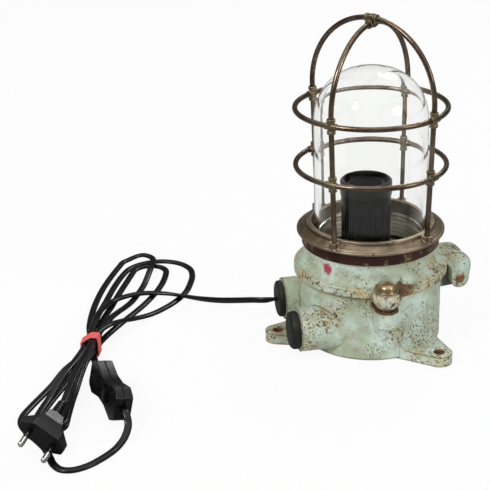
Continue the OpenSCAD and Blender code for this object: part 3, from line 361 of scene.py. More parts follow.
def rust_spots_and_hole_shade(tree, at):
    """A mask and a tone: rust in pits and flakes, at corners and in worn places,
    and rust with painted shade in the foot holes.
    """
    clusters = spots(tree, at.place, 30.0, 0.47, 0.14)
    pits = both_of(tree, clusters, spots(tree, at.place, 560.0, 0.536, 0.06, 0.74))
    flakes = spots(tree, at.place, 95.0, 0.655, 0.03, 0.75)
    corners = rubbed_edge(tree, at.place, 0.0024, 200.0, 0.40)
    tired_pits = both_of(tree, at.tired, spots(tree, at.place, 420.0, 0.54, 0.05, 0.75))
    rim_pits = both_of(tree, any_of(tree, at.rim, at.ear), spots(tree, at.place, 260.0, 0.55, 0.05, 0.72))
    wavy_height = calc(tree, "ADD", at.height, calc(tree, "MULTIPLY", at.patches, 0.006))
    under_ear = both_of(tree, at.ear, ramp(tree, wavy_height, 0.0545, 0.0525))
    blot = near_point(tree, at.place, blot_point, 0.0110, 0.016)
    # In the foot holes the dark rust tone also paints the shade on the holes' far walls.
    hole_rust_and_shade = [ramp(tree, measure(tree, "DISTANCE", at.level, hole), 0.0050, 0.0039) for hole in foot_holes]
    browns = ramp(tree, noise(tree, at.place, 330.0, 5.0, 0.7), 0.38, 0.64)
    tone = mix_colours(tree, browns, colour(0.04, 0.024, 0.012), colour(0.25, 0.135, 0.068))
    return any_of(tree, pits, flakes, corners, tired_pits, rim_pits, under_ear, blot, *hole_rust_and_shade), tone


# %% Mint paint
def odd_places(tree, at, coat):
    """The coat with a bare screwed throat under painted glints, painted shade in the gap and dent at the
    hinge, and one fleck of red paint.
    """
    # The screwed throat is bare metal, painted paler as well to stand for the glints of the glass's thread
    # ridges in front of it.
    throat_with_glints = both_of(tree, ramp(tree, at.radius, 0.0470, 0.0464), ramp(tree, at.height, 0.0575, 0.0585))
    bare = mix_colours(tree, at.patches, colour(0.34, 0.29, 0.17), colour(0.74, 0.70, 0.55))
    coat = mix_colours(tree, throat_with_glints, coat, bare)

    # Painted shade: the recess beside the hinge lug and the small dent on the hinge fork are darkened in the
    # colour.
    along_pin = measure(tree, "DOT_PRODUCT", at.place, pin_way)
    beside_pin = between(tree, along_pin, -0.0054, 0.0054, 0.0004)
    lug = both_of(tree, beside_pin, ramp(tree, at.radius, 0.0580, 0.0600))
    recess_shade = both_of(tree, lug, between(tree, at.height, 0.026, 0.0515, 0.001))
    dent_shade = near_point(tree, at.place, dent_point, 0.0036, 0.004)
    dark = calc(tree, "MULTIPLY", any_of(tree, recess_shade, dent_shade), 0.85)
    coat = mix_colours(tree, dark, coat, colour(0.05, 0.055, 0.042))

    fleck = near_point(tree, at.place, fleck_point, 0.0056, 0.006)
    return mix_colours(tree, fleck, coat, colour(0.40, 0.06, 0.095))


def mint_paint():
    material, tree, shader = new_finish("mint_paint", Specular_IOR_Level=0.35)
    at = find_places(tree)
    cream, cream_tone = cream_undercoat(tree, at)
    rust_and_hole_shade, rust_and_shade_tone = rust_spots_and_hole_shade(tree, at)
    coat = mix_colours(tree, cream, mint_coat(tree, at), cream_tone)
    coat = odd_places(tree, at, mix_colours(tree, rust_and_hole_shade, coat, rust_and_shade_tone))
    eaten = calc(tree, "MULTIPLY", rust_and_hole_shade, 0.5)
    height = calc(tree, "SUBTRACT", cast_skin(tree, at.place, 70.0, 700.0), eaten)
    feed(tree, shader, Base_Color=coat, Roughness=ramp(tree, rust_and_hole_shade, 0.0, 1.0, 0.42, 0.82),
         Normal=bump(tree, height, 0.0008, 0.75, 0.0012))
    return material


mint = mint_paint()
print("mint paint has", len(mint.node_tree.nodes), "nodes")

# %% [markdown]
# ## Bronze, maroon, brass, copper and steel
# The guard is bronze that has gone brown, with an olive bloom in the hollows and bare metal on the corners.
# The collar under it is dark red paint. The screws are aged brass with bronze washers, the hinge pin is
# rubbed copper and the plug's pins are steel. Each could have a tree of its own, but they differ only in
# their tones, in the scale of the tarnish and in their shine, so one function makes them all.


# %% Old metals
def old_metal(name, dark, main, bright, scale, roughness, edge=0.0012, metallic=0.9, corner=0.0,
              shaded_grooves=(), bare=None):
    """Tarnish that drifts between a dark and a main tone, with brighter metal at rubbed corners.

    Shaded grooves are radii round the lamp's axis at which a turned ring gets a fine line of painted shade.
    Bare is the tone of larger patches where the skin has gone.
    """
    material, tree, shader = new_finish(name, Metallic=metallic, Specular_IOR_Level=0.3)
    place = object_place(tree)
    bloom = noise(tree, place, scale, 5.0, 0.62)
    tone = mix_colours(tree, ramp(tree, bloom, 0.36, 0.64), colour(*dark), colour(*main))
    tone = mix_colours(tree, rubbed_edge(tree, place, edge, 3 * scale, 0.6), tone, colour(*bright))
    if bare:
        tone = mix_colours(tree, spots(tree, place, 2 * scale, 0.565, 0.07, 0.72), tone, colour(*bare))
    stain_and_groove_shade = spots(tree, place, 6 * scale, 0.62, 0.06)
    # Painted shade: a fine dark line in the ring's groove and at the foot of its lip, added to the real
    # stains.
    if shaded_grooves:
        radius = measure(tree, "LENGTH", level_of(tree, place))
        groove_shade = (between(tree, radius, r - shade_line_half, r + shade_line_half, shade_line_soft) for r in shaded_grooves)
        stain_and_groove_shade = any_of(tree, stain_and_groove_shade, *groove_shade)
    tone = mix_colours(tree, calc(tree, "MULTIPLY", stain_and_groove_shade, 0.75), tone, colour(0.035, 0.024, 0.016))
    shine = ramp(tree, bloom, 0.3, 0.7, roughness + 0.14, roughness - 0.06)
    height = cast_skin(tree, place, 110.0, 1200.0)
    feed(tree, shader, Base_Color=tone, Roughness=shine, Normal=bump(tree, height, 0.0003, 0.6, corner))
    return material


shade_line_half, shade_line_soft = 0.0002, 0.0003
lip_foot_radius = 0.0502
groove_radius, groove_half, groove_depth = 0.0556, 0.0004, 0.0004
bronze = old_metal("bronze", (0.15, 0.11, 0.06), (0.37, 0.285, 0.205), (0.62, 0.51, 0.36),
                   scale=48.0, roughness=0.3, corner=0.0008, shaded_grooves=(lip_foot_radius, groove_radius))
joint_bronze = old_metal("joint_bronze", (0.12, 0.09, 0.05), (0.26, 0.21, 0.135), (0.46, 0.38, 0.25),
                         scale=90.0, roughness=0.32, corner=0.0006)
wire = old_metal("bronze_wire", (0.085, 0.055, 0.036), (0.27, 0.205, 0.145), (0.46, 0.38, 0.28),
                 scale=38.0, roughness=0.19)
brass = old_metal("brass", (0.42, 0.31, 0.16), (0.70, 0.54, 0.32), (0.90, 0.79, 0.56),
                  scale=120.0, roughness=0.24, edge=0.0006)
copper = old_metal("copper_pin", (0.30, 0.14, 0.075), (0.60, 0.31, 0.18), (0.80, 0.52, 0.36),
                   scale=150.0, roughness=0.3, edge=0.0006)
steel = old_metal("steel", (0.34, 0.34, 0.33), (0.62, 0.62, 0.61), (0.78, 0.78, 0.77),
                  scale=160.0, roughness=0.2, edge=0.0004)
maroon = old_metal("maroon_paint", (0.020, 0.006, 0.004), (0.050, 0.013, 0.009), (0.20, 0.14, 0.06),
                   scale=60.0, roughness=0.28, edge=0.0009, metallic=0.0, bare=(0.17, 0.125, 0.06))
print("old metals:", [m.name for m in (bronze, joint_bronze, wire, brass, copper, steel, maroon)])

# %% [markdown]
# ## Rubber, plastic and the cord's jacket
# Black things differ by their skin: the entry plugs are matt rubber with pale dust, the lampholder and
# switch are moulded plastic with a fine grain, and the cord is a smooth jacket with a soft shine. A flat
# black would make them one thing, so one function takes a tone, a dust, a grain and a shine. It makes the
# pale insert and the red band as well, and the speckled panels of the plug's grip, which are found in the
# plug's own frame.


# %% Moulded finishes
def moulded(name, tone, dust, roughness, grain, depth, shine=0.3, panel=None):
    """A moulded skin with a little dust, and a second tone on a panel if its mask is given."""
    material, tree, shader = new_finish(name, Specular_IOR_Level=shine)
    place = object_place(tree)
    cloud = noise(tree, place, 65.0, 6.0, 0.7)
    dusty = calc(tree, "MULTIPLY", ramp(tree, cloud, 0.45, 0.75), 0.35)
    skin_grain = noise(tree, place, grain, 2.0)
    tones = mix_colours(tree, dusty, tone, dust)
    if panel:
        specks = mix_colours(tree, ramp(tree, skin_grain, 0.38, 0.62), grey(0.05), grey(0.36))
        tones = mix_colours(tree, panel(tree, place), tones, specks)
    uneven = ramp(tree, cloud, 0.3, 0.7, roughness - 0.05, roughness + 0.1)
    feed(tree, shader, Base_Color=tones, Roughness=uneven, Normal=bump(tree, skin_grain, depth, 0.6))
    return material


def plug_panel(tree, place):
    """1 on the flat panels of the plug's grip."""
    turned = {"Vector": place, "Location": plug_frame.to_translation(), "Rotation": plug_frame.to_euler()}
    own_place = put(tree, "Mapping", turned, vector_type="TEXTURE").outputs[0]
    along, across, out = put(tree, "SeparateXYZ", {0: own_place}).outputs
    outside = ramp(tree, calc(tree, "ABSOLUTE", out), 0.0035, 0.0042)
    broad = both_of(tree, between(tree, across, -0.0066, 0.0066, 0.0004), outside)
    return both_of(tree, between(tree, along, -0.0275, -0.0172, 0.0003), broad)


rubber = moulded("black_rubber", colour(0.014, 0.014, 0.010), colour(0.055, 0.05, 0.038),
                 roughness=0.5, grain=900.0, depth=0.00012)
plastic = moulded("black_plastic", grey(0.003), grey(0.009),
                  roughness=0.24, grain=1600.0, depth=0.00001, shine=0.35)
holder_plastic = moulded("holder_plastic", grey(0.002), grey(0.006),
                         roughness=0.3, grain=1600.0, depth=0.00001, shine=0.16)
plug_plastic = moulded("plug_plastic", grey(0.005), grey(0.014),
                       roughness=0.36, grain=1500.0, depth=0.00003, panel=plug_panel)
jacket = moulded("cord_jacket", grey(0.003), grey(0.008),
                 roughness=0.2, grain=300.0, depth=0.00004, shine=0.4)
ceramic = moulded("ceramic", colour(0.62, 0.60, 0.54), colour(0.45, 0.42, 0.36),
                  roughness=0.45, grain=700.0, depth=0.0001)
red_rubber = moulded("red_rubber", colour(0.80, 0.13, 0.125), colour(0.88, 0.28, 0.26),
                     roughness=0.42, grain=900.0, depth=0.0001)
moulded_finishes = (rubber, plastic, holder_plastic, plug_plastic, jacket, ceramic, red_rubber)
print("moulded finishes:", [m.name for m in moulded_finishes])

# %% [markdown]
# ## Clear glass
# The globe is moulded clear glass with faint waves. A path tracer darkens what stands inside glass, because
# its shadow rays stop there. More light would mend that and bleach the rest, so instead the rays that only
# ask for light pass through the glass as if it were air.


# %% Glass
def clear_glass():
    material, tree, shader = new_finish(
        "clear_glass", Base_Color=colour(0.995, 1.0, 0.99), Roughness=0.0, IOR=1.3, Transmission_Weight=1.0)
    waves = noise(tree, object_place(tree), 26.0, 1.0)
    feed(tree, shader, Normal=bump(tree, waves, 0.0004, 0.4))
    open_air = put(tree, "BsdfTransparent", {"Color": colour(0.95, 0.97, 0.96)}).outputs[0]
    asks_for_light = put(tree, "LightPath").outputs["Is Shadow Ray"]
    either = put(tree, "MixShader", {0: asks_for_light, 1: shader.outputs[0], 2: open_air})
    tree.links.new(either.outputs[0], tree.nodes["Material Output"].inputs["Surface"])
    return material


glass = clear_glass()
print("glass has", len(glass.node_tree.nodes), "nodes")

# %% [markdown]
# ## Skins for the CAD pieces
# A CAD node is loose triangles that carry their own stored normals. It could stay and only get a finish,
# but in the glass those normals would tilt the light. A copy with its corners merged and the stored normals
# dropped can be shaded smoothly, apart from edges sharper than an angle. The copy takes the node's place on
# the same body.

# %% Which finish a node wears
finish_of_slot = {
    "mint_paint": mint, "bronze": bronze, "maroon_paint": maroon, "brass": brass, "copper_pin": copper,
    "steel": steel, "black_rubber": rubber, "red_rubber": red_rubber, "clear_glass": glass,
    "black_plastic": plastic, "cord_jacket": jacket, "ceramic": ceramic}
wire_nodes = [n for n in frame["nodes"] if n.startswith("guard_bar") or n.endswith("_hoop")]
joint_nodes = [n for n in frame["nodes"] if n.endswith(("_joint", "_joints"))]
finish_of_node = {"screw_washers": bronze, "plug_body": plug_plastic, "plug_pins": steel}
finish_of_node |= {n: holder_plastic for n in ("holder_cap", "holder_body", "holder_socket")}
finish_of_node |= {n: wire for n in wire_nodes}
finish_of_node |= {n: joint_bronze for n in joint_nodes}
print("nodes with a finish of their own:", len(finish_of_node))

# %% Skin helpers
sharp_degrees, merge_within = 32.0, 0.002 * MM


def merged_copy(name):
    """A bmesh of a CAD node with its corners merged."""
    shell = bmesh.new()
    shell.from_mesh(frame["nodes"][name].data)
    bmesh.ops.remove_doubles(shell, verts=shell.verts, dist=merge_within)
    return shell


def new_piece(name, shell, finish, sharp=sharp_degrees):
    """An object from a bmesh, shaded smoothly apart from its sharp edges."""
    mesh = bpy.data.meshes.new(name)
    shell.to_mesh(mesh)
    shell.free()
    if "custom_normal" in mesh.attributes:
        mesh.attributes.remove(mesh.attributes["custom_normal"])
    mesh.shade_smooth()
    mesh.set_sharp_from_angle(angle=math.radians(sharp))
    mesh.materials.append(finish)
    piece = bpy.data.objects.new(name, mesh)
    bpy.context.collection.objects.link(piece)
    return piece


def settle(piece, *nodes):
    """The piece stands for these nodes and rides on their body."""
    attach(piece, body_of_node[nodes[0]])
    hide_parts(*nodes)
    return piece


def skin(name, shell=None):
    """The skin of a node, from a shell of its own shape or a changed one."""
    finish = finish_of_node.get(name) or finish_of_slot[slot_of_node[name]]
    return settle(new_piece(name + "_skin", shell or merged_copy(name), finish), name)


# %% [markdown]
# ## Rounded mouldings
# The switch and the plug come out of moulds, so their outer edges are a little round. The CAD keeps them
# sharp, because nothing fits against them. A Bevel modifier on every edge would cut into itself at the
# small holes, so only long outward edges get a weight and are rounded, and the rest stay crisp.

# %% Rounded skins
flat_within, least_edge, least_turn = math.radians(2), 1.2 * MM, math.radians(24)
rounding_segments = 3


def add_rounding(piece, width, limit):
    rounding = piece.modifiers.new("rounding", "BEVEL")
    rounding.width, rounding.segments, rounding.limit_method = width, rounding_segments, limit
    return rounding


def is_long_corner(edge):
    return edge.is_convex and edge.calc_length() > least_edge and edge.calc_face_angle() > least_turn


def rounded_skin(name, width):
    """A skin whose flat facets are joined and whose long outward edges are rounded, as from a mould."""
    shell = merged_copy(name)
    bmesh.ops.dissolve_limit(shell, angle_limit=flat_within, verts=shell.verts, edges=shell.edges)
    weight = shell.edges.layers.float.new("bevel_weight_edge")
    rounded = [is_long_corner(edge) for edge in shell.edges]
    for edge, is_rounded in zip(shell.edges, rounded):
        edge[weight] = float(is_rounded)
    piece = skin(name, shell)
    for edge, is_rounded in zip(piece.data.edges, rounded):
        edge.use_edge_sharp = edge.use_edge_sharp and not is_rounded
    rounding = add_rounding(piece, width, "WEIGHT")
    rounding.use_clamp_overlap, rounding.harden_normals = False, True
    return piece


# %% [markdown]
# ## Sleeved pins and a turned groove
# The inner half of each pin is sleeved in plastic, and the guard's ring has a fine groove turned into its
# cone. Both could be marks in a finish, but a groove shows in the outline and in the shine. So planes cut
# the merged meshes: one cut gives the sleeve a clean end, and three give the groove, whose middle circle is
# pressed in.

# %% Pins and ring
cut_within, sleeve_end = 0.001 * MM, 10.5 * MM
cone_foot, cone_top = Vector((57.3, 0, 90.1)) * MM, Vector((50.0, 0, 93.8)) * MM
near_height, near_radius = 0.01 * MM, 0.06 * MM


def cut_through(shell, point, normal, clear_beyond=False):
    """Cuts a whole shell along a plane, and takes away what lies beyond it if asked to."""
    everything = shell.verts[:] + shell.edges[:] + shell.faces[:]
    bmesh.ops.bisect_plane(shell, geom=everything, dist=cut_within, plane_co=point, plane_no=normal,
                           clear_outer=clear_beyond)


def sleeved_pins():
    """The plug's pins, whose inner half is sleeved in plastic."""
    shell = merged_copy("plug_pins")
    seam, along = on_plug(sleeve_end), plug_frame.to_3x3() @ Vector((1, 0, 0))
    cut_through(shell, seam, along)
    for face in shell.faces:
        face.material_index = int((face.calc_center_median() - seam).dot(along) < 0)
    pins = skin("plug_pins", shell)
    pins.data.materials.append(plastic)
    return pins


def turned_ring():
    """The guard's ring, with a fine groove turned into its cone."""
    shell = merged_copy("guard_ring")
    slope = (cone_top.z - cone_foot.z) / (cone_foot.x - cone_top.x)
    into_metal = Vector((-slope, 0, -1)).normalized() * groove_depth
    middle = cone_foot.z + (cone_foot.x - groove_radius) * slope
    for height in (middle - groove_half * slope, middle, middle + groove_half * slope):
        cut_through(shell, (0, 0, height), (0, 0, 1))
    at_middle = [v for v in shell.verts if abs(v.co.z - middle) < near_height]
    on_line = [v for v in at_middle if abs(v.co.xy.length - groove_radius) < near_radius]
    for vert in on_line:
        out = vert.co.xy.normalized()
        vert.co += Vector((out.x * into_metal.x, out.y * into_metal.x, into_metal.z))
    print("groove points", len(on_line))
    return skin("guard_ring", shell)


# %% All skins
wound_nodes = ("cord_lead", "cord_hank", "cord_to_switch", "cord_tail", "rubber_band")
rounding_mm = {"switch_back": 0.75, "switch_front": 0.75, "switch_rocker": 0.3, "plug_body": 0.4}
skins = {"plug_pins": sleeved_pins(), "guard_ring": turned_ring()}
skins |= {n: rounded_skin(n, width * MM) for n, width in rounding_mm.items()}
skins |= {n: skin(n) for n in frame["nodes"] if n not in skins and n not in wound_nodes}
print("skins:", len(skins))

# %% [markdown]
# ## The cord
# The lead is flat twin cord, 5.4 mm wide and 3.2 mm thick. It leaves the grommet on edge, falls to the
# table and is folded into a hank of four loops that a rubber band holds, and goes on to the switch and the
# plug. A round bevel on a curve would make it a hose. So a second curve gives the flat section, which is
# swept along the route, and the result is made a mesh. The section's width stays level, as a cord that lies
# flat does.

# %% Cord section and route helpers
cord_width, cord_thickness = 5.4 * MM, 3.2 * MM
section_sides, section_fullness, section_dip, section_dip_spread = 28, 2.6, 0.07, 0.28
cord_sharp_degrees = 60.0


def smooth_through(points, steps=6):
    """A smooth curve through every point, as part of a route."""
    fine = []
    for i in range(len(points) - 1):
        a, b, c, d = points[max(i - 1, 0)], points[i], points[i + 1], points[min(i + 2, len(points) - 1)]
        for k in range(steps):
            t = k / steps
            fine.append(0.5 * (2 * b + (c - a) * t + (2 * a - 5 * b + 4 * c - d) * t**2
                               + (3 * b - a - 3 * c + d) * t**3))
    return fine + [points[-1]]


def flat_section():
    """A closed outline of two round conductors side by side, with a faint dip between them."""
    data = bpy.data.curves.new("cord_section", "CURVE")
    rim = data.splines.new("POLY")
    rim.points.add(section_sides - 1)
    for i, point in enumerate(rim.points):
        a = 2 * math.pi * i / section_sides
        c, s, n = math.cos(a), math.sin(a), section_fullness
        fuller = 1 / (abs(c) ** n + abs(s) ** n) ** (1 / n)
        dip = 1 - section_dip * math.exp(-((abs(a % math.pi - math.pi / 2) / section_dip_spread) ** 2))
        point.co = (cord_width / 2 * fuller * c, cord_thickness / 2 * fuller * dip * s, 0, 1)
    rim.use_cyclic_u = True
    section = bpy.data.objects.new("cord_section", data)
    bpy.context.collection.objects.link(section)
    return section


def swept_cord(name, path, tilts=None):
    """A mesh of the cord's section along a path, turned about the path by an angle at each point if given."""
    data = bpy.data.curves.new(name + "_route", "CURVE")
    data.dimensions, data.twist_mode, data.use_fill_caps = "3D", "Z_UP", True
    spline = data.splines.new("POLY")
    spline.points.add(len(path) - 1)
    for i, place in enumerate(path):
        spline.points[i].co = (*place, 1)
        spline.points[i].tilt = tilts[i] if tilts else 0.0
    section = flat_section()
    data.bevel_mode, data.bevel_object = "OBJECT", section
    route = bpy.data.objects.new(name + "_route", data)
    bpy.context.collection.objects.link(route)
    shown = route.evaluated_get(bpy.context.evaluated_depsgraph_get())
    shell = bmesh.new()
    shell.from_mesh(bpy.data.meshes.new_from_object(shown))
    bmesh.ops.remove_doubles(shell, verts=shell.verts, dist=cut_within)
    bmesh.ops.recalc_face_normals(shell, faces=shell.faces)
    for made_for_sweep in (route, section):
        bpy.data.objects.remove(made_for_sweep)
    return new_piece(name, shell, jacket, cord_sharp_degrees)


# %% [markdown]
# ## The hank
# A hank could be drawn point by point, but its runs would then easily touch or float. Its loops are worked
# out instead: each has a leg out from its lane under the band, a round tip and a leg back, and falls from
# its layer under the band to the table.

# %% Hank measures
layer_step, floor_gap, band_thickness, band_room = 3.8 * MM, 0.15 * MM, 1.6 * MM, 0.25 * MM
waist_y = -52 * MM
lanes = (-220 * MM, -214.2 * MM)
leg_steps, tip_steps = 30, 24
fall_share, back_fall = 0.4, 0.2
lift_from, lift_share, lift_degrees = 0.72, 0.2, 70

# Tip centre, radius and bows are in mm. Run is the layer on the table, lift is how many layers the tip rises,
# and fall is the share of the leg out before it falls.
Loop = namedtuple("Loop", "lane_out layer_out lane_back layer_back centre radius way side "
                          "bow_out bow_back run lift fall")
hank_loops = [
    Loop(0, 2, 1, 2, (-224.5, -160), 10.5, -1, -1, 0, -3, 1, 0, 0.38),
    Loop(1, 2, 0, 0, (-209.5, 117), 15, 1, 1, 2, -9, 0, 1, 0.2),
    Loop(0, 0, 1, 1, (-224.5, -160), 10.5, -1, -1, 0, -3, 0, 0, 0.2),
    Loop(1, 1, 1, 0, (-195.5, 100.5), 15, 1, -1, -4.5, 4, 0, 0, 0.2)]


def layer(k):
    return floor_gap + cord_thickness / 2 + k * layer_step


def waist_height(k):
    return layer(k) + band_thickness + band_room


print("heights under the band", [round(waist_height(k) / MM, 2) for k in range(3)], "mm")


# %% Hank
def ease(t):
    t = min(max(t, 0), 1)
    return t * t * (3 - 2 * t)


def leg(loop, t, lane, from_layer, side, bow, lift, fall):
    """A point on a loop's leg, which runs from the band at 0 to the tip at 1."""
    tip_x, tip_y = loop.centre
    end_x, low = (tip_x + side * loop.radius) * MM, layer(loop.run)
    z = low + (waist_height(from_layer) - low) * (1 - ease((t - fall) / fall_share))
    z += lift * layer_step * ease((t - lift_from) / lift_share)
    x = lanes[lane] + (end_x - lanes[lane]) * ease(t) + bow * MM * math.sin(math.pi * t) * ease(4 * t)
    return Vector((x, waist_y + (tip_y * MM - waist_y) * t, z))


def tip(loop, turned):
    """A point on a loop's tip, which turns from 0 to 180 degrees."""
    (tip_x, tip_y), a = loop.centre, math.radians(turned)
    x = tip_x + loop.side * loop.radius * math.cos(a)
    y = tip_y + loop.way * loop.radius * math.sin(a)
    z = layer(loop.run) + loop.lift * layer_step * (1 - ease((turned - lift_degrees) / lift_degrees))
    return Vector((x * MM, y * MM, z))


def loop_points(loop):
    going = (loop.lane_out, loop.layer_out, loop.side, loop.bow_out, loop.lift, loop.fall)
    coming = (loop.lane_back, loop.layer_back, -loop.side, loop.bow_back, 0, back_fall)
    out = [leg(loop, i / leg_steps, *going) for i in range(leg_steps)]
    turn_round = [tip(loop, 180 * i / tip_steps) for i in range(tip_steps + 1)]
    back = [leg(loop, i / leg_steps, *coming) for i in range(leg_steps - 1, 0, -1)]
    return out + turn_round + back


hank = [p for loop in hank_loops for p in loop_points(loop)]
print("hank points", len(hank))

# %% [markdown]
# ## The two routes
# The open stretches are drawn: their points follow the cord in the photograph, and lie on the table or over
# other runs.
# The first route goes from the lamp through the hank to the switch, the second from the switch to the plug.


# %% Cord from the lamp to the switch
def metres(*points):
    return [Vector(p) * MM for p in points]


lead_end = Vector((lanes[0], waist_y, waist_height(2)))
lead_points = [grommet_face - entry_out * 9 * MM, grommet_face + entry_out * 5 * MM] + metres(
    (-85, 7, 21.3), (-96, 10, 19.8), (-108, 16, 16.5), (-124, 27, 11), (-142, 38, 7), (-158, 46, 5.6),
    (-172, 50, 5.6), (-186, 51, 5.6), (-198, 48.5, 5.6), (-208.5, 42, 5.6), (-216, 32, 6.2),
    (-219.4, 18, 8.4), (-220.6, 2, 10.7), (-220.4, -16, 11.5), (-220.1, -34, 11.2)) + [lead_end]
to_switch = [Vector((lanes[1], waist_y, waist_height(0)))] + metres(
    (-214.1, -58, 3.6), (-210.5, -70, 3.8), (-207, -81, 6.5), (-204.2, -92, 11.8)) + [
    on_switch(switch_half + 5 * MM), on_switch(switch_half - cord_in)]
lead_path = smooth_through(lead_points)[:-1]
main_path = lead_path + hank + smooth_through(to_switch)

# %% Cord to the lamp, swept
edge_turn = math.radians(70)
edge_from_mm, edge_over_mm, flat_from_mm, flat_over_mm = 1, 14, 45, 60


def edge_up(place):
    """The turn of the cord, which stands on edge where it leaves the grommet and lies flat further out."""
    out = (place - grommet_face).dot(entry_out) / MM
    rises = ease((out - edge_from_mm) / edge_over_mm)
    return edge_turn * rises * (1 - ease((out - flat_from_mm) / flat_over_mm))


def length_of(path):
    return sum((b - a).length for a, b in zip(path, path[1:]))


tilts = [edge_up(p) if i < len(lead_path) else 0.0 for i, p in enumerate(main_path)]
main_cord = settle(swept_cord("cord_to_lamp", main_path, tilts), "cord_lead", "cord_hank", "cord_to_switch")
print("cord to the lamp", round(length_of(main_path), 3), "m")

# %% Cord from the switch to the plug
tail_points = [on_switch(cord_in - switch_half), on_switch(-switch_half - 5 * MM)] + metres(
    (-167, -168.5, 8.2), (-168.2, -177, 3.6), (-171.4, -187, 1.8), (-175.5, -196, 1.75),
    (-181.5, -205, 1.75), (-187.5, -211.8, 1.75), (-196, -217, 1.75), (-204.5, -217, 1.75),
    (-211, -211, 1.75), (-215.3, -203, 1.75), (-221, -192, 1.75), (-229.5, -181.5, 1.75),
    (-239, -171, 1.75), (-246, -160, 1.75), (-247.4, -149, 1.75), (-244.8, -136, 1.75),
    (-240.8, -121, 1.75), (-236, -105, 2.6), (-230.5, -89, 6), (-223.6, -73, 7.3), (-220.2, -61, 7.4),
    (-220, -46, 7.4), (-221, -30, 7.4), (-222.4, -14, 7.3), (-223, 2, 6.4), (-223.5, 20, 3.8),
    (-223.2, 42, 1.75), (-221.8, 68, 1.75), (-219, 92, 1.75), (-214.2, 110, 1.75), (-202.8, 121.6, 1.75),
    (-187.5, 126, 1.75), (-172, 122, 1.75), (-160.6, 110.5, 1.75), (-156.3, 95, 1.75), (-156, 78, 1.75),
    (-157.5, 62, 1.75), (-162.5, 46, 1.75), (-170.5, 31, 1.75), (-181, 16.5, 2.2), (-192.5, 0.5, 6),
    (-199, -11, 10), (-205.8, -26, 14.3), (-211.3, -37, 14.9), (-214.2, -48, 15), (-214.2, -60, 15),
    (-214.4, -74, 15.5), (-215, -90, 16.2), (-215.6, -107, 16.3), (-216, -125, 16.2)) + [
    on_plug(-plug_back - 5 * MM), on_plug(-plug_back + 2 * MM)]
tail_path = smooth_through(tail_points)
tail_cord = settle(swept_cord("cord_to_plug", tail_path), "cord_tail")
print("cord to the plug", round(length_of(tail_path), 3), "m")

# %% [markdown]
# ## The rubber band
# The band goes round the hank three times. A spun ring wouldn't follow the hank's outline, which the CAD's
# one wide ring does. So three copies of that ring are cut to a third of its width, each cut is closed with
# a bridge between its two loops, each turn is turned a little, and a bevel rounds the rubber.

# %% Rubber band
band_width, band_slit = 9 * MM, 0.3 * MM
band_turns_turned = (1.2, 0.0, -1.2)
turn_width = band_width / len(band_turns_turned)
band_corner_degrees, band_rounding = 50.0, 0.7 * MM


def cut_ring(shell, y, side):
    """Takes away the ring beyond a plane across its width, and closes the cut."""
    cut_through(shell, (0, y, 0), (0, side, 0), clear_beyond=True)
    bmesh.ops.bridge_loops(shell, edges=[e for e in shell.edges if e.is_boundary])


def band_turn(number, turned):
    """One turn of the band, a slice of the ring that is turned a little about the hank."""
    shell = merged_copy("rubber_band")
    low = waist_y - band_width / 2 + number * turn_width
    if number > 0:
        cut_ring(shell, low + band_slit / 2, -1)
    if number < len(band_turns_turned) - 1:
        cut_ring(shell, low + turn_width - band_slit / 2, 1)
    bmesh.ops.recalc_face_normals(shell, faces=shell.faces)
    middle = Vector(((lanes[0] + lanes[1]) / 2, waist_y, waist_height(1)))
    slant = Matrix.Rotation(math.radians(turned), 3, "Z")
    bmesh.ops.rotate(shell, verts=shell.verts, cent=middle, matrix=slant)
    return shell


all_turns = bmesh.new()
for number, turned in enumerate(band_turns_turned):
    one_turn = band_turn(number, turned)
    loose = bpy.data.meshes.new("band_turn")
    one_turn.to_mesh(loose)
    one_turn.free()
    all_turns.from_mesh(loose)
band = settle(new_piece("rubber_band_turns", all_turns, red_rubber, band_corner_degrees), "rubber_band")
add_rounding(band, band_rounding, "ANGLE").angle_limit = math.radians(band_corner_degrees)
print("band faces", len(band.data.polygons))

# %% [markdown]
# ## Floor and light
# The lamp was photographed on white. More light would whiten the floor and bleach the lamp too, so the pale
# floor shines a little by itself for the camera and through glass, and still takes the lamp's soft shadow.
# What shines mirrors a room with a white ceiling, dim walls and a dim table, so that metal and black
# plastic keep their depth.


# %% Floor
def seen_directly(path):
    """1 for the camera's own rays and for rays that come through glass."""
    return calc(path.id_data, "MAXIMUM", path.outputs["Is Camera Ray"], path.outputs["Is Transmission Ray"])


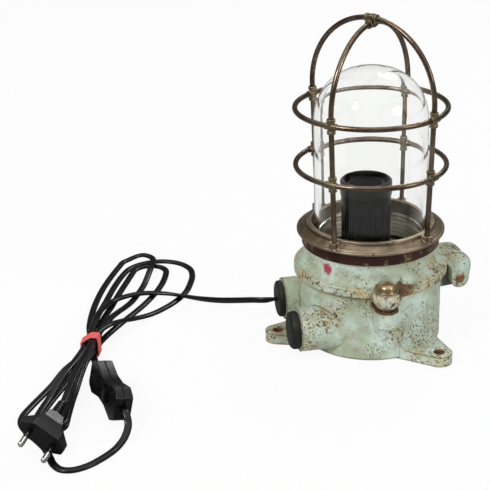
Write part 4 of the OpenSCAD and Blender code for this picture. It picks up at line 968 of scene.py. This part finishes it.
def white_floor():
    material, tree, shader = new_finish("white_floor", Roughness=0.9, Specular_IOR_Level=0.0)
    path = put(tree, "LightPath")
    feed(tree, shader, Base_Color=mix_colours(tree, path.outputs["Is Glossy Ray"], grey(0.85), grey(0.35)))
    glow = put(tree, "Emission", {"Color": grey(1), "Strength": 1.0})
    share = calc(tree, "MULTIPLY", seen_directly(path), 0.92)
    both_ways = put(tree, "MixShader", {0: share, 1: shader.outputs[0], 2: glow.outputs[0]})
    tree.links.new(both_ways.outputs[0], tree.nodes["Material Output"].inputs["Surface"])
    return material


floor_half = 8
sheet = bmesh.new()
bmesh.ops.create_grid(sheet, x_segments=1, y_segments=1, size=floor_half)
floor = new_piece("floor", sheet, white_floor())
print("floor", 2 * floor_half, "m across")

# %% World and lamps
world = bpy.data.worlds.new("studio")
world.use_nodes = True
bpy.context.scene.world = world
room = world.node_tree
sky = room.nodes["Background"]
sky.inputs["Color"].default_value = grey(1)
upward = put(room, "SeparateXYZ", {0: put(room, "TexCoord").outputs["Generated"]}).outputs["Z"]
path = put(room, "LightPath")
in_mirrors = ramp(room, upward, 0.45, 0.9, 0.08, 1.2)
strength = put(room, "Mix", {0: path.outputs["Is Glossy Ray"], 2: 0.5, 3: in_mirrors}).outputs[0]
strength = put(room, "Mix", {0: seen_directly(path), 2: strength, 3: 1.0}).outputs[0]
room.links.new(strength, sky.inputs["Strength"])

lamp_aim, softbox_size = Vector((-0.03, -0.03, 0.08)), 0.5


def softbox(name, place, watts):
    """A round area lamp that is aimed at the object."""
    light = bpy.data.lights.new(name, "AREA")
    light.shape, light.size, light.energy = "DISK", softbox_size, watts
    box = bpy.data.objects.new(name, light)
    box.location = place
    box.rotation_euler = (lamp_aim - Vector(place)).to_track_quat("-Z", "Y").to_euler()
    bpy.context.collection.objects.link(box)


softbox("key", (-0.9, -1.0, 1.3), 13.0)
softbox("fill", (1.2, -0.7, 0.8), 5.0)
softbox("back", (0.4, 1.2, 1.2), 6.0)
bpy.context.scene.view_settings.view_transform = "Standard"
print("lamps:", [light.name for light in bpy.data.lights])

# %% [markdown]
# ## The end
# Dressing the lamp mustn't change its size; this last cell only updates the view layer.

# %% Update
bpy.context.view_layer.update()
